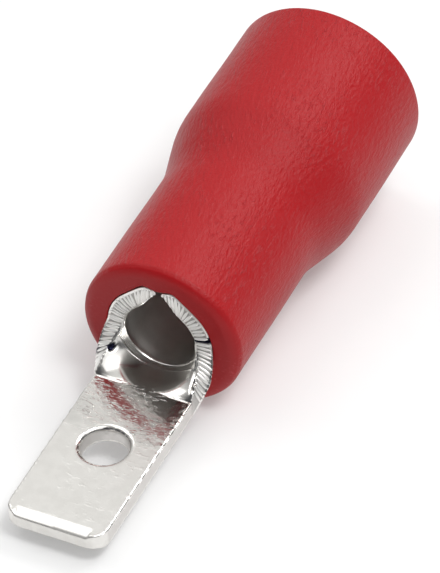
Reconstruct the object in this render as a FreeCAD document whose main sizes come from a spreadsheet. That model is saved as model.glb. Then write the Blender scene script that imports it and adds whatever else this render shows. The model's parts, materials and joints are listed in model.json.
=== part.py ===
"""Insulated male spade terminal: a rolled sheet blade in a flared vinyl sleeve.

Millimetres. While it is being drawn the wire barrel lies along +X with its
front edge at X = 0, the tab points to -X and lies flat, and +Z is up. At the
end both pieces are laid down the way the terminal comes to rest on a table.
"""
import FreeCAD
import Part
import Sketcher
import math
import os

Vector = FreeCAD.Vector

doc = FreeCAD.newDocument("spade_terminal")

# Driving dimensions

DIMENSIONS = [
    ("sheet_gauge", 0.5, "thickness of the sheet that the blade is stamped from"),
    ("tab_width", 2.8, "width of the flat tab"),
    ("tab_reach", 6.4, "tip of the tab to the front edge of the barrel"),
    ("tab_lift", 0.1, "tab's upper face above the floor of the barrel"),
    ("tip_corner", 0.5, "radius of the tab's two front corners"),
    ("tip_bevel_run", 0.3, "length of the lead-in bevels at the tip"),
    ("tip_bevel_drop", 0.07, "how much each lead-in bevel takes off the end face"),
    ("hole_diameter", 1.25, "locking hole through the tab"),
    ("hole_setback", 3.07, "tip of the tab to the centre of the locking hole"),
    ("hole_round", 0.08, "rolled-over upper edge of the locking hole"),
    ("barrel_bore", 2.0, "inside diameter of the rolled wire barrel"),
    ("barrel_length", 5.0, "length of the rolled wire barrel"),
    ("seam_rise", 42.0, "degrees from the seam at which the roll runs out straight"),
    ("seam_gap", 0.24, "opening left along the seam"),
    ("seam_nose", 0.12, "thickness of the pinched edges where they face each other"),
    ("seam_shoulder", 0.3, "from an edge at the seam back to its raised outer corner"),
    ("seam_slope", 15.0, "degrees by which the raised corners fall towards the seam"),
    ("seam_pinch", 0.38, "from an edge at the seam back to where its inner pinch starts"),
    ("curl_run", 1.1, "length over which the flat tab curls into the barrel"),
    ("curl_wrap", 98.0, "degrees from the bottom that the curled sides reach"),
    ("curl_flare", 0.3, "how much the curled sides spread before they sweep up"),
    ("sleeve_length", 10.6, "length of the sleeve, its front flush with the barrel"),
    ("grip_wall", 0.76, "wall of the sleeve's grip round the barrel"),
    ("grip_clearance", 0.01, "room between the barrel and the sleeve"),
    ("grip_overrun", 0.15, "how far the grip runs on past the end of the barrel"),
    ("bell_wall", 0.6, "wall of the sleeve's wire end"),
    ("flare_lead", 0.6, "how far in front of the barrel's end the outer flare starts"),
    ("flare_rise", 0.455, "how far the wire end stands out beyond the grip, each side"),
    ("flare_slope", 15.0, "degrees of the outer flare"),
    ("flare_round", 2.9, "radius that blends the flare into the two cylinders"),
    ("funnel_slope", 24.0, "degrees of the inner funnel that guides the wire"),
    ("funnel_round", 1.0, "radius that blends the funnel into the wire entry"),
    ("face_round", 0.12, "rounding of the sleeve's front outer edge"),
    ("rim_round", 0.1, "rounding of the sleeve's wire end"),
    ("parting_turn", 86.25, "degrees round the axis from the barrel's seam to the sleeve's parting line"),
]

dims = doc.addObject("Spreadsheet::Sheet", "dims")
for row, (alias, value, note) in enumerate(DIMENSIONS, start=1):
    dims.set(f"A{row}", alias)
    dims.set(f"B{row}", str(value))
    dims.set(f"C{row}", note)
    dims.setAlias(f"B{row}", alias)
doc.recompute()


def size(alias):
    """The number in the sheet's cell of that name."""
    return float(dims.get(alias))


# Helpers for bodies and sketches

def new_body(name):
    """An empty body whose label is the name of the piece."""
    body = doc.addObject("PartDesign::Body", name)
    body.Label = name
    return body


def origin_item(body, role):
    """A plane or an axis of the body's own origin."""
    for item in body.Origin.OriginFeatures:
        if item.Role == role:
            return item
    raise RuntimeError(role + " is missing")


def new_sketch(body, name, plane, offset=None):
    """A sketch on one of the body's planes, moved along the plane's normal."""
    sketch = body.newObject("Sketcher::SketchObject", name)
    sketch.AttachmentSupport = [(origin_item(body, plane), "")]
    sketch.MapMode = "FlatFace"
    if offset is not None:
        sketch.setExpression("AttachmentOffset.Base.z", offset)
    return sketch


def add_line(sketch, start, end):
    """A straight edge between two (u, v) points."""
    edge = Part.LineSegment(Vector(*start, 0), Vector(*end, 0))
    return sketch.addGeometry(edge, False)


def add_arc(sketch, centre, radius, first, last):
    """A circular edge, anticlockwise between two angles in radians."""
    circle = Part.Circle(Vector(*centre, 0), Vector(0, 0, 1), radius)
    return sketch.addGeometry(Part.ArcOfCircle(circle, first, last), False)


def bind(sketch, name, formula, *constraint):
    """A dimension of the sketch that follows a formula in the sheet's names."""
    index = sketch.addConstraint(Sketcher.Constraint(*constraint))
    sketch.renameConstraint(index, name)
    sketch.setExpression("Constraints." + name, formula)


def fix(sketch, *constraint):
    """A geometric condition with no dimension."""
    sketch.addConstraint(Sketcher.Constraint(*constraint))


START, END, CENTRE = 1, 2, 3
ORIGIN_POINT = (-1, 1)
AXIS_U, AXIS_V = -1, -2
SAME_PLACE = 1e-6

# Lengths that several sketches share, each as a formula

BORE_RADIUS = "dims.barrel_bore / 2"
BARREL_RADIUS = "(dims.barrel_bore / 2 + dims.sheet_gauge)"
MIDDLE_RADIUS = "(dims.barrel_bore / 2 + dims.sheet_gauge / 2)"
TAB_BOTTOM = "dims.tab_lift - dims.barrel_bore / 2 - dims.sheet_gauge"
SOCKET_RADIUS = f"({BARREL_RADIUS} + dims.grip_clearance)"
GRIP_RADIUS = f"({SOCKET_RADIUS} + dims.grip_wall)"
BELL_RADIUS = f"({GRIP_RADIUS} + dims.flare_rise)"
SEAM_FALL = "(dims.seam_shoulder * tan(dims.seam_slope))"

bore_radius = size("barrel_bore") / 2
barrel_radius = bore_radius + size("sheet_gauge")
middle_radius = bore_radius + size("sheet_gauge") / 2
tab_bottom = size("tab_lift") - bore_radius - size("sheet_gauge")
socket_radius = barrel_radius + size("grip_clearance")
grip_radius = socket_radius + size("grip_wall")
bell_radius = grip_radius + size("flare_rise")
seam_fall = size("seam_shoulder") * math.tan(math.radians(size("seam_slope")))


# The stamped and rolled blade

def draw_tab_outline(body):
    """Plan of the flat tab, from the crease to the rounded tip."""
    sketch = new_sketch(body, "tab_outline", "XY_Plane", TAB_BOTTOM)
    half = size("tab_width") / 2
    corner = size("tip_corner")
    tip = -size("tab_reach")
    crease = -size("curl_run")
    right = add_line(sketch, (crease, -half), (tip + corner, -half))
    front_right = add_arc(sketch, (tip + corner, corner - half), corner, math.pi, 1.5 * math.pi)
    front = add_line(sketch, (tip, corner - half), (tip, half - corner))
    front_left = add_arc(sketch, (tip + corner, half - corner), corner, 0.5 * math.pi, math.pi)
    left = add_line(sketch, (tip + corner, half), (crease, half))
    back = add_line(sketch, (crease, half), (crease, -half))
    fix(sketch, "Tangent", right, END, front_right, END)
    fix(sketch, "Tangent", front_right, START, front, START)
    fix(sketch, "Tangent", front, END, front_left, END)
    fix(sketch, "Tangent", front_left, START, left, START)
    fix(sketch, "Coincident", left, END, back, START)
    fix(sketch, "Coincident", back, END, right, START)
    fix(sketch, "Horizontal", right)
    fix(sketch, "Horizontal", left)
    fix(sketch, "Vertical", front)
    fix(sketch, "Equal", front_right, front_left)
    fix(sketch, "Symmetric", right, START, left, END, AXIS_U)
    bind(sketch, "corner", "dims.tip_corner", "Radius", front_right, corner)
    bind(sketch, "width", "dims.tab_width", "DistanceY", back, END, back, START, 2 * half)
    bind(sketch, "crease", "dims.curl_run", "DistanceX", back, START, *ORIGIN_POINT, -crease)
    bind(sketch, "tip", "dims.tab_reach", "DistanceX", front, START, *ORIGIN_POINT, -tip)
    return sketch


def draw_tip_bevels(body):
    """Two wedges, above and below the sheet, that thin the tip for entry."""
    sketch = new_sketch(body, "tip_bevels", "XZ_Plane")
    gauge = size("sheet_gauge")
    run = size("tip_bevel_run")
    drop = size("tip_bevel_drop")
    tip = -size("tab_reach")
    for name, level, turn in (("upper", tab_bottom + gauge, 1), ("lower", tab_bottom, -1)):
        heel = (tip + run, level)
        toe = (tip, level - turn * drop)
        slope = add_line(sketch, heel, toe)
        face = add_line(sketch, toe, (tip, level))
        top = add_line(sketch, (tip, level), heel)
        fix(sketch, "Coincident", slope, END, face, START)
        fix(sketch, "Coincident", face, END, top, START)
        fix(sketch, "Coincident", top, END, slope, START)
        fix(sketch, "Vertical", face)
        fix(sketch, "Horizontal", top)
        height = TAB_BOTTOM if name == "lower" else TAB_BOTTOM + " + dims.sheet_gauge"
        bind(sketch, name + "_level", f"-({height})", "DistanceY", top, START, *ORIGIN_POINT, -level)
        bind(sketch, name + "_tip", "dims.tab_reach", "DistanceX", top, START, *ORIGIN_POINT, -tip)
        bind(sketch, name + "_run", "dims.tip_bevel_run", "DistanceX", top, START, top, END, run)
        ends = (face, START, face, END) if name == "upper" else (face, END, face, START)
        bind(sketch, name + "_drop", "dims.tip_bevel_drop", "DistanceY", *ends, drop)
    return sketch


def draw_locking_hole(body):
    """Circle of the hole that a receptacle's dimple drops into."""
    sketch = new_sketch(body, "locking_hole", "XY_Plane", TAB_BOTTOM)
    away = size("tab_reach") - size("hole_setback")
    circle = Part.Circle(Vector(-away, 0, 0), Vector(0, 0, 1), size("hole_diameter") / 2)
    hole = sketch.addGeometry(circle, False)
    fix(sketch, "PointOnObject", hole, CENTRE, AXIS_U)
    bind(sketch, "bore", "dims.hole_diameter", "Diameter", hole, size("hole_diameter"))
    bind(sketch, "place", "dims.tab_reach - dims.hole_setback",
         "DistanceX", hole, CENTRE, *ORIGIN_POINT, away)
    return sketch


# The curl is drawn at this many sections, closest together at its two ends,
# and its curvature grows with this power of the way along it.
CURL_SECTIONS = 6
CURL_POWER = 0.7


def curl_station(share):
    """Formulas and numbers of the curled sheet at a share of the curl's run.

    The sheet is a circular arc of constant thickness there. Its curvature
    grows from none at the crease to the barrel's, its floor sinks from the
    tab to the barrel, and its sides spread along a quarter of an ellipse.
    """
    bend = share ** CURL_POWER
    sink = share * share * (3 - 2 * share)
    sweep = 1 - math.sqrt(1 - share * share)
    full_wrap = math.radians(size("curl_wrap")) * middle_radius
    spread = full_wrap - size("tab_width") / 2 - size("curl_flare")
    radius = middle_radius / bend
    width = size("tab_width") / 2 + share * size("curl_flare") + sweep * spread
    floor = (1 - sink) * size("tab_lift") - middle_radius
    wrap_text = f"({MIDDLE_RADIUS} * dims.curl_wrap * pi / 180)"
    spread_text = f"({wrap_text} - dims.tab_width / 2 - dims.curl_flare)"
    radius_text = f"({MIDDLE_RADIUS} / {bend:.6f})"
    width_text = f"(dims.tab_width / 2 + {share:.6f} * dims.curl_flare + {sweep:.6f} * {spread_text})"
    return {
        "radius": radius,
        "half_angle": width / radius,
        "centre": floor + radius,
        "radius_text": radius_text,
        "angle_text": f"2 * {width_text} / {radius_text} * 180 / pi * 1 deg",
        "centre_text": f"{radius_text} - {MIDDLE_RADIUS} + {1 - sink:.6f} * dims.tab_lift",
    }


def draw_curl_start(body):
    """The flat sheet's own section at the crease."""
    sketch = new_sketch(body, "curl_start", "YZ_Plane", "-dims.curl_run")
    half = size("tab_width") / 2
    gauge = size("sheet_gauge")
    bottom = add_line(sketch, (-half, tab_bottom), (half, tab_bottom))
    left = add_line(sketch, (half, tab_bottom), (half, tab_bottom + gauge))
    top = add_line(sketch, (half, tab_bottom + gauge), (-half, tab_bottom + gauge))
    right = add_line(sketch, (-half, tab_bottom + gauge), (-half, tab_bottom))
    for first, second in ((bottom, left), (left, top), (top, right), (right, bottom)):
        fix(sketch, "Coincident", first, END, second, START)
    fix(sketch, "Horizontal", top)
    fix(sketch, "Vertical", left)
    fix(sketch, "Vertical", right)
    fix(sketch, "Symmetric", bottom, START, bottom, END, AXIS_V)
    bind(sketch, "width", "dims.tab_width", "DistanceX", bottom, START, bottom, END, 2 * half)
    bind(sketch, "gauge", "dims.sheet_gauge", "DistanceY", left, START, left, END, gauge)
    bind(sketch, "level", f"-({TAB_BOTTOM})", "DistanceY", bottom, END, *ORIGIN_POINT, -tab_bottom)
    return sketch


def draw_curl_section(body, number, share):
    """Section of the curled sheet at a share of the way to the barrel."""
    station = curl_station(share)
    sketch = new_sketch(body, f"curl_section_{number}", "YZ_Plane",
                        f"-dims.curl_run * {1 - share:.6f}")
    middle = (0, station["centre"])
    first = 1.5 * math.pi - station["half_angle"]
    last = 1.5 * math.pi + station["half_angle"]
    gauge = size("sheet_gauge")
    radii = (station["radius"] + gauge / 2, station["radius"] - gauge / 2)

    def rim(radius, angle):
        return (middle[0] + radius * math.cos(angle), middle[1] + radius * math.sin(angle))

    outer = add_arc(sketch, middle, radii[0], first, last)
    left = add_line(sketch, rim(radii[0], last), rim(radii[1], last))
    inner = add_arc(sketch, middle, radii[1], first, last)
    right = add_line(sketch, rim(radii[1], first), rim(radii[0], first))
    fix(sketch, "Coincident", outer, END, left, START)
    fix(sketch, "Coincident", left, END, inner, END)
    fix(sketch, "Coincident", inner, START, right, START)
    fix(sketch, "Coincident", right, END, outer, START)
    fix(sketch, "Coincident", outer, CENTRE, inner, CENTRE)
    fix(sketch, "PointOnObject", inner, CENTRE, AXIS_V)
    fix(sketch, "PointOnObject", inner, CENTRE, left)
    fix(sketch, "PointOnObject", inner, CENTRE, right)
    fix(sketch, "Horizontal", inner, START, inner, END)
    bind(sketch, "inside", station["radius_text"] + " - dims.sheet_gauge / 2", "Radius", inner, radii[1])
    bind(sketch, "outside", station["radius_text"] + " + dims.sheet_gauge / 2", "Radius", outer, radii[0])
    bind(sketch, "wrap", station["angle_text"], "Angle", inner, 2 * station["half_angle"])
    if share < 1:
        bind(sketch, "centre", station["centre_text"],
             "DistanceY", *ORIGIN_POINT, inner, CENTRE, station["centre"])
    else:
        fix(sketch, "PointOnObject", inner, CENTRE, AXIS_U)
    return sketch


def seam_points(radius):
    """Where a roll of this radius runs out straight, and its outer corner."""
    rise = math.radians(size("seam_rise"))
    shoulder = size("seam_gap") / 2 + size("seam_shoulder")
    leave = (radius * math.sin(rise), radius * math.cos(rise))
    corner = (shoulder, leave[1] + (leave[0] - shoulder) * math.tan(rise))
    return leave, corner


def mirrored(point):
    """The same point on the other side of the seam."""
    return (-point[0], point[1])


def tie_roll(sketch, arc, name, text, radius):
    """Centre a roll on the barrel's axis and set its radius and its opening."""
    fix(sketch, "Coincident", arc, CENTRE, *ORIGIN_POINT)
    fix(sketch, "Horizontal", arc, START, arc, END)
    bind(sketch, name + "_radius", text, "Radius", arc, radius)
    span = 2 * math.pi - 2 * math.radians(size("seam_rise"))
    bind(sketch, name + "_span", "(360 - 2 * dims.seam_rise) * 1 deg", "Angle", arc, span)


def draw_barrel_section(body):
    """The rolled barrel seen end on, open along its raised seam."""
    sketch = new_sketch(body, "barrel_section", "YZ_Plane")
    first = math.pi / 2 + math.radians(size("seam_rise"))
    last = 2.5 * math.pi - math.radians(size("seam_rise"))
    gap = size("seam_gap") / 2
    pinch = gap + size("seam_pinch")
    leave_out, corner = seam_points(barrel_radius)
    leave_in = seam_points(bore_radius)[0]
    nose_top = (gap, corner[1] - seam_fall)
    nose_low = (gap, nose_top[1] - size("seam_nose"))
    rise = math.tan(math.radians(size("seam_rise")))
    pinch_start = (pinch, leave_in[1] + (leave_in[0] - pinch) * rise)
    chain = [leave_out, corner, nose_top, nose_low, pinch_start, leave_in]
    outer = add_arc(sketch, (0, 0), barrel_radius, first, last)
    inner = add_arc(sketch, (0, 0), bore_radius, first, last)
    sides = []
    for side in (chain, [mirrored(point) for point in chain]):
        lines = [add_line(sketch, start, end) for start, end in zip(side, side[1:])]
        for line, following in zip(lines, lines[1:]):
            fix(sketch, "Coincident", line, END, following, START)
        sides.append(lines)
    left, right = sides
    tie_roll(sketch, outer, "outer", BARREL_RADIUS, barrel_radius)
    tie_roll(sketch, inner, "inner", BORE_RADIUS, bore_radius)
    fix(sketch, "Tangent", outer, END, left[0], START)
    fix(sketch, "Coincident", outer, START, right[0], START)
    fix(sketch, "Tangent", inner, END, left[-1], END)
    fix(sketch, "Coincident", inner, START, right[-1], END)
    for mine, other in zip(left[:-1], right[:-1]):
        fix(sketch, "Symmetric", mine, END, other, END, AXIS_V)
    fix(sketch, "Vertical", left[2])
    bind(sketch, "gap", "dims.seam_gap", "DistanceX", right[1], END, left[1], END, 2 * gap)
    bind(sketch, "shoulder", "dims.seam_shoulder",
         "DistanceX", left[1], END, left[1], START, corner[0] - gap)
    bind(sketch, "fall", SEAM_FALL, "DistanceY", left[1], END, left[1], START, seam_fall)
    bind(sketch, "nose", "dims.seam_nose", "DistanceY", left[2], END, left[2], START, size("seam_nose"))
    bind(sketch, "pinch", "dims.seam_pinch", "DistanceX", left[3], START, left[3], END, pinch - gap)
    return sketch


def build_blade():
    """One sheet: bevelled tab, locking hole, curled neck and rolled barrel."""
    body = new_body("blade_terminal")
    tab = body.newObject("PartDesign::Pad", "tab")
    tab.Profile = draw_tab_outline(body)
    tab.setExpression("Length", "dims.sheet_gauge")
    bevels = body.newObject("PartDesign::Pocket", "lead_in_bevels")
    bevels.Profile = draw_tip_bevels(body)
    bevels.SideType = "Symmetric"
    bevels.Type = "Length"
    bevels.setExpression("Length", "2 * dims.tab_width")
    hole = body.newObject("PartDesign::Pocket", "hole")
    hole.Profile = draw_locking_hole(body)
    hole.SideType = "Symmetric"
    hole.Type = "Length"
    hole.setExpression("Length", "4 * dims.sheet_gauge")
    curl = body.newObject("PartDesign::AdditiveLoft", "curled_neck")
    curl.Profile = draw_curl_start(body)
    sections = []
    for number in range(1, CURL_SECTIONS + 1):
        share = (1 - math.cos(math.pi * number / CURL_SECTIONS)) / 2
        sections.append(draw_curl_section(body, number, share))
    curl.Sections = sections
    barrel = body.newObject("PartDesign::Pad", "wire_barrel")
    barrel.Profile = draw_barrel_section(body)
    barrel.setExpression("Length", "dims.barrel_length")
    doc.recompute()
    rolled = body.newObject("PartDesign::Fillet", "rolled_hole_edge")
    rolled.Base = (barrel, [upper_hole_edge(barrel.Shape)])
    rolled.setExpression("Radius", "dims.hole_round")
    return body


def upper_hole_edge(shape):
    """Name of the circle where the locking hole meets the tab's upper face."""
    level = tab_bottom + size("sheet_gauge")
    for number, edge in enumerate(shape.Edges, start=1):
        if edge.Curve.TypeId == "Part::GeomCircle":
            ring = edge.Curve
            upright = abs(abs(ring.Axis.z) - 1) < SAME_PLACE
            same = abs(ring.Radius - size("hole_diameter") / 2) < SAME_PLACE
            if upright and same and abs(ring.Center.z - level) < SAME_PLACE:
                return f"Edge{number}"
    raise RuntimeError("the hole's upper edge is missing")


# The moulded sleeve

# At most this share of the flare's rise is spent on each of its two blends.
BLEND_SHARE = 0.45
FLARE_ROUND = f"min(dims.flare_round; {BLEND_SHARE} * dims.flare_rise / (1 - cos(dims.flare_slope)))"


def flare_shape():
    """Radius of the flare's blends and the points where its stretches meet."""
    slope = math.radians(size("flare_slope"))
    limit = BLEND_SHARE * size("flare_rise") / (1 - math.cos(slope))
    radius = min(size("flare_round"), limit)
    arc_rise = radius * (1 - math.cos(slope))
    arc_run = radius * math.sin(slope)
    ramp_rise = size("flare_rise") - 2 * arc_rise
    start = (size("barrel_length") - size("flare_lead"), grip_radius)
    ramp_start = (start[0] + arc_run, grip_radius + arc_rise)
    ramp_end = (ramp_start[0] + ramp_rise / math.tan(slope), bell_radius - arc_rise)
    return radius, start, ramp_start, ramp_end, (ramp_end[0] + arc_run, bell_radius)


def draw_sleeve_profile(body):
    """Half section of the sleeve at its parting line, solid in front of the funnel."""
    sketch = new_sketch(body, "sleeve_profile", "XZ_Plane")
    sketch.AttachmentOffset = FreeCAD.Placement(Vector(), FreeCAD.Rotation(Vector(1, 0, 0), 1))
    sketch.setExpression("AttachmentOffset.Rotation.Angle", "dims.parting_turn * 1 deg")
    entry = bell_radius - size("bell_wall")
    length = size("sleeve_length")
    end = size("barrel_length") + size("grip_overrun")
    slope = math.radians(size("flare_slope"))
    flare, leave, ramp_start, ramp_end, meet = flare_shape()
    inner_slope = math.radians(size("funnel_slope"))
    inner_round = size("funnel_round")
    lip_drop = inner_round * (1 - math.cos(inner_slope))
    funnel_run = (entry - lip_drop - socket_radius) / math.tan(inner_slope)
    lip_start = (end + funnel_run, entry - lip_drop)
    entry_start = (lip_start[0] + inner_round * math.sin(inner_slope), entry)
    quarter = math.pi / 2
    front = add_line(sketch, (0, 0), (0, grip_radius))
    straight = add_line(sketch, (0, grip_radius), leave)
    hollow = add_arc(sketch, (leave[0], leave[1] + flare), flare, 3 * quarter, 3 * quarter + slope)
    ramp = add_line(sketch, ramp_start, ramp_end)
    crown = add_arc(sketch, (meet[0], meet[1] - flare), flare, quarter, quarter + slope)
    outside = add_line(sketch, meet, (length, bell_radius))
    rim = add_line(sketch, (length, bell_radius), (length, entry))
    inside = add_line(sketch, (length, entry), entry_start)
    lip = add_arc(sketch, (entry_start[0], entry - inner_round), inner_round,
                  quarter, quarter + inner_slope)
    funnel = add_line(sketch, lip_start, (end, socket_radius))
    stop = add_line(sketch, (end, socket_radius), (end, 0))
    axis = add_line(sketch, (end, 0), (0, 0))
    fix(sketch, "Coincident", front, START, *ORIGIN_POINT)
    fix(sketch, "Coincident", front, END, straight, START)
    fix(sketch, "Tangent", straight, END, hollow, START)
    fix(sketch, "Tangent", hollow, END, ramp, START)
    fix(sketch, "Tangent", ramp, END, crown, END)
    fix(sketch, "Tangent", crown, START, outside, START)
    fix(sketch, "Coincident", outside, END, rim, START)
    fix(sketch, "Coincident", rim, END, inside, START)
    fix(sketch, "Tangent", inside, END, lip, START)
    fix(sketch, "Tangent", lip, END, funnel, START)
    fix(sketch, "Coincident", funnel, END, stop, START)
    fix(sketch, "Coincident", stop, END, axis, START)
    fix(sketch, "Coincident", axis, END, front, START)
    fix(sketch, "Vertical", front)
    fix(sketch, "Horizontal", straight)
    fix(sketch, "Horizontal", outside)
    fix(sketch, "Vertical", rim)
    fix(sketch, "Horizontal", inside)
    fix(sketch, "Vertical", stop)
    fix(sketch, "Horizontal", axis)
    fix(sketch, "Equal", hollow, crown)
    bind(sketch, "grip", GRIP_RADIUS, "DistanceY", front, START, front, END, grip_radius)
    bind(sketch, "bell", BELL_RADIUS, "DistanceY", *ORIGIN_POINT, outside, END, bell_radius)
    bind(sketch, "wall", "dims.bell_wall", "DistanceY", rim, END, rim, START, size("bell_wall"))
    bind(sketch, "length", "dims.sleeve_length", "DistanceX", *ORIGIN_POINT, rim, START, length)
    bind(sketch, "flare_start", "dims.barrel_length - dims.flare_lead",
         "DistanceX", straight, START, straight, END, leave[0])
    bind(sketch, "flare_round", FLARE_ROUND, "Radius", hollow, flare)
    bind(sketch, "flare_slope", "dims.flare_slope * 1 deg", "Angle", hollow, slope)
    bind(sketch, "funnel_round", "dims.funnel_round", "Radius", lip, inner_round)
    bind(sketch, "funnel_slope", "dims.funnel_slope * 1 deg", "Angle", lip, inner_slope)
    bind(sketch, "throat", SOCKET_RADIUS, "DistanceY", stop, END, stop, START, socket_radius)
    bind(sketch, "grip_end", "dims.barrel_length + dims.grip_overrun",
         "DistanceX", axis, END, axis, START, end)
    return sketch


def draw_socket(body):
    """The barrel's own outline with the grip's clearance round it."""
    sketch = new_sketch(body, "socket_section", "YZ_Plane")
    first = math.pi / 2 + math.radians(size("seam_rise"))
    last = 2.5 * math.pi - math.radians(size("seam_rise"))
    leave, corner = seam_points(socket_radius)
    gap = size("seam_gap") / 2
    nose = (gap, corner[1] - seam_fall)
    wall = add_arc(sketch, (0, 0), socket_radius, first, last)
    left = add_line(sketch, leave, corner)
    left_fall = add_line(sketch, corner, nose)
    bridge = add_line(sketch, nose, mirrored(nose))
    right_fall = add_line(sketch, mirrored(nose), mirrored(corner))
    right = add_line(sketch, mirrored(corner), mirrored(leave))
    tie_roll(sketch, wall, "wall", SOCKET_RADIUS, socket_radius)
    fix(sketch, "Tangent", wall, END, left, START)
    fix(sketch, "Coincident", left, END, left_fall, START)
    fix(sketch, "Coincident", left_fall, END, bridge, START)
    fix(sketch, "Coincident", bridge, END, right_fall, START)
    fix(sketch, "Coincident", right_fall, END, right, START)
    fix(sketch, "Coincident", right, END, wall, START)
    fix(sketch, "Symmetric", left, END, right, START, AXIS_V)
    fix(sketch, "Symmetric", bridge, START, bridge, END, AXIS_V)
    bind(sketch, "gap", "dims.seam_gap", "DistanceX", bridge, END, bridge, START, 2 * gap)
    bind(sketch, "shoulder", "dims.seam_shoulder",
         "DistanceX", left_fall, END, left_fall, START, corner[0] - gap)
    bind(sketch, "fall", SEAM_FALL, "DistanceY", left_fall, END, left_fall, START, seam_fall)
    return sketch


def ring_edges(shape, radius, station):
    """Names of the full circles of that radius at that place along X."""
    names = []
    for number, edge in enumerate(shape.Edges, start=1):
        if edge.Curve.TypeId == "Part::GeomCircle":
            ring = edge.Curve
            right_size = abs(ring.Radius - radius) < SAME_PLACE
            if right_size and abs(ring.Center.x - station) < SAME_PLACE:
                names.append(f"Edge{number}")
    return names


def build_sleeve():
    """One moulding: grip over the barrel, funnel, bell for the insulation."""
    body = new_body("insulating_sleeve")
    turned = body.newObject("PartDesign::Revolution", "turned_form")
    turned.Profile = draw_sleeve_profile(body)
    turned.ReferenceAxis = (origin_item(body, "X_Axis"), [""])
    turned.Angle = 360
    socket = body.newObject("PartDesign::Pocket", "barrel_socket")
    socket.Profile = draw_socket(body)
    socket.Reversed = True
    socket.Type = "Length"
    socket.setExpression("Length", "dims.barrel_length + dims.grip_overrun")
    doc.recompute()
    front = body.newObject("PartDesign::Fillet", "front_edge")
    front.Base = (socket, ring_edges(socket.Shape, grip_radius, 0))
    front.setExpression("Radius", "dims.face_round")
    doc.recompute()
    rim = body.newObject("PartDesign::Fillet", "wire_end_rim")
    rings = ring_edges(front.Shape, bell_radius, size("sleeve_length"))
    rings += ring_edges(front.Shape, bell_radius - size("bell_wall"), size("sleeve_length"))
    rim.Base = (front, rings)
    rim.setExpression("Radius", "dims.rim_round")
    return body


def lay_down(bodies):
    """Tip the terminal on to the sleeve's front edge and the start of its bell.

    The origin ends up under the middle of the object, on the table.
    """
    flare, *_, meet = flare_shape()
    face = size("face_round")
    front = (face, face - grip_radius)
    back = (meet[0], flare - meet[1])
    reach = math.hypot(back[0] - front[0], back[1] - front[1])
    tilt = math.atan2(back[1] - front[1], back[0] - front[0])
    tilt -= math.asin((flare - face) / reach)
    turn = FreeCAD.Rotation(Vector(0, 1, 0), math.degrees(tilt))
    for body in bodies:
        body.Placement = FreeCAD.Placement(Vector(), turn)
    doc.recompute()
    box = FreeCAD.BoundBox()
    for body in bodies:
        box.add(body.Shape.optimalBoundingBox(False))
    shift = Vector(-(box.XMin + box.XMax) / 2, -(box.YMin + box.YMax) / 2, -box.ZMin)
    for body in bodies:
        body.Placement = FreeCAD.Placement(shift, turn)
    doc.recompute()
    print(f"laid down by {-math.degrees(tilt):.3f} degrees, moved by {tuple(round(n, 4) for n in shift)}")


def check_and_export(bodies):
    """Write one STEP file for each piece, once nothing in the model has failed."""
    for item in doc.Objects:
        if "Invalid" in item.State or "Error" in item.State:
            raise RuntimeError(f"{item.Name} failed: {item.State}")
        if item.TypeId == "Sketcher::SketchObject" and not item.FullyConstrained:
            raise RuntimeError(item.Name + " is not fully constrained")
    os.makedirs("parts", exist_ok=True)
    for body in bodies:
        shape = body.Shape
        if shape.isNull() or not shape.isValid() or len(shape.Solids) != 1:
            raise RuntimeError(body.Label + " is not one valid solid")
        shape.exportStep(os.path.join("parts", body.Label + ".step"))
        box = shape.optimalBoundingBox(False)
        print(f"{body.Label}: {shape.Volume:.4f} mm3, "
              f"{box.XLength:.3f} x {box.YLength:.3f} x {box.ZLength:.3f} mm")


pieces = [build_blade(), build_sleeve()]
doc.recompute()
lay_down(pieces)
check_and_export(pieces)
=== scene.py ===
# %% [markdown]
# # A crimp terminal: one rolled sheet of tinned metal in a red vinyl sleeve
#
# The real object has two pieces. A press stamps the blade out of sheet, rolls its
# back end into a wire barrel, and a moulded sleeve is pushed over that barrel. This
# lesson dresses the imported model: it rebuilds both pieces as fine meshes in the same
# place, gives them their finishes, and photographs them on a pale floor.

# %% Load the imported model
import functools
import json
import math

import bmesh
import bpy
import numpy as np
from mathutils import Matrix, Vector, noise


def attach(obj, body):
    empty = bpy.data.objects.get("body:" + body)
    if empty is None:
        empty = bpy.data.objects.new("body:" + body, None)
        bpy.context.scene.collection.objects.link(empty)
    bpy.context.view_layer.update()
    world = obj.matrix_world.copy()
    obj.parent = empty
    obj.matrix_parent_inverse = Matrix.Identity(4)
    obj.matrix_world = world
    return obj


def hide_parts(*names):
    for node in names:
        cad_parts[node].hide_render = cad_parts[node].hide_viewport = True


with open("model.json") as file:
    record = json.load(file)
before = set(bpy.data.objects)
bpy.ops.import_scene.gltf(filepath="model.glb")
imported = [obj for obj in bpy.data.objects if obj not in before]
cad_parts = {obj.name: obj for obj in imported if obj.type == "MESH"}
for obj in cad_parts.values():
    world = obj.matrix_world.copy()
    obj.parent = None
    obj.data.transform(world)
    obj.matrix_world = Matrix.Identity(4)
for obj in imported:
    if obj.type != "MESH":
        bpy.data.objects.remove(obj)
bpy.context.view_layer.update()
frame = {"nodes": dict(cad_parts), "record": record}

print("nodes:", sorted(frame["nodes"]))

# %% [markdown]
# ## The terminal's own axes
#
# The part lies on a table, so its barrel rises a little towards the wire. Shapes are
# far easier to think about along the barrel, so everything below is worked out in
# millimetres with X along the barrel from its front edge, Y across and Z away from the
# tab. One matrix, read from the barrel's mount, then lays the points down in metres.

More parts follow.
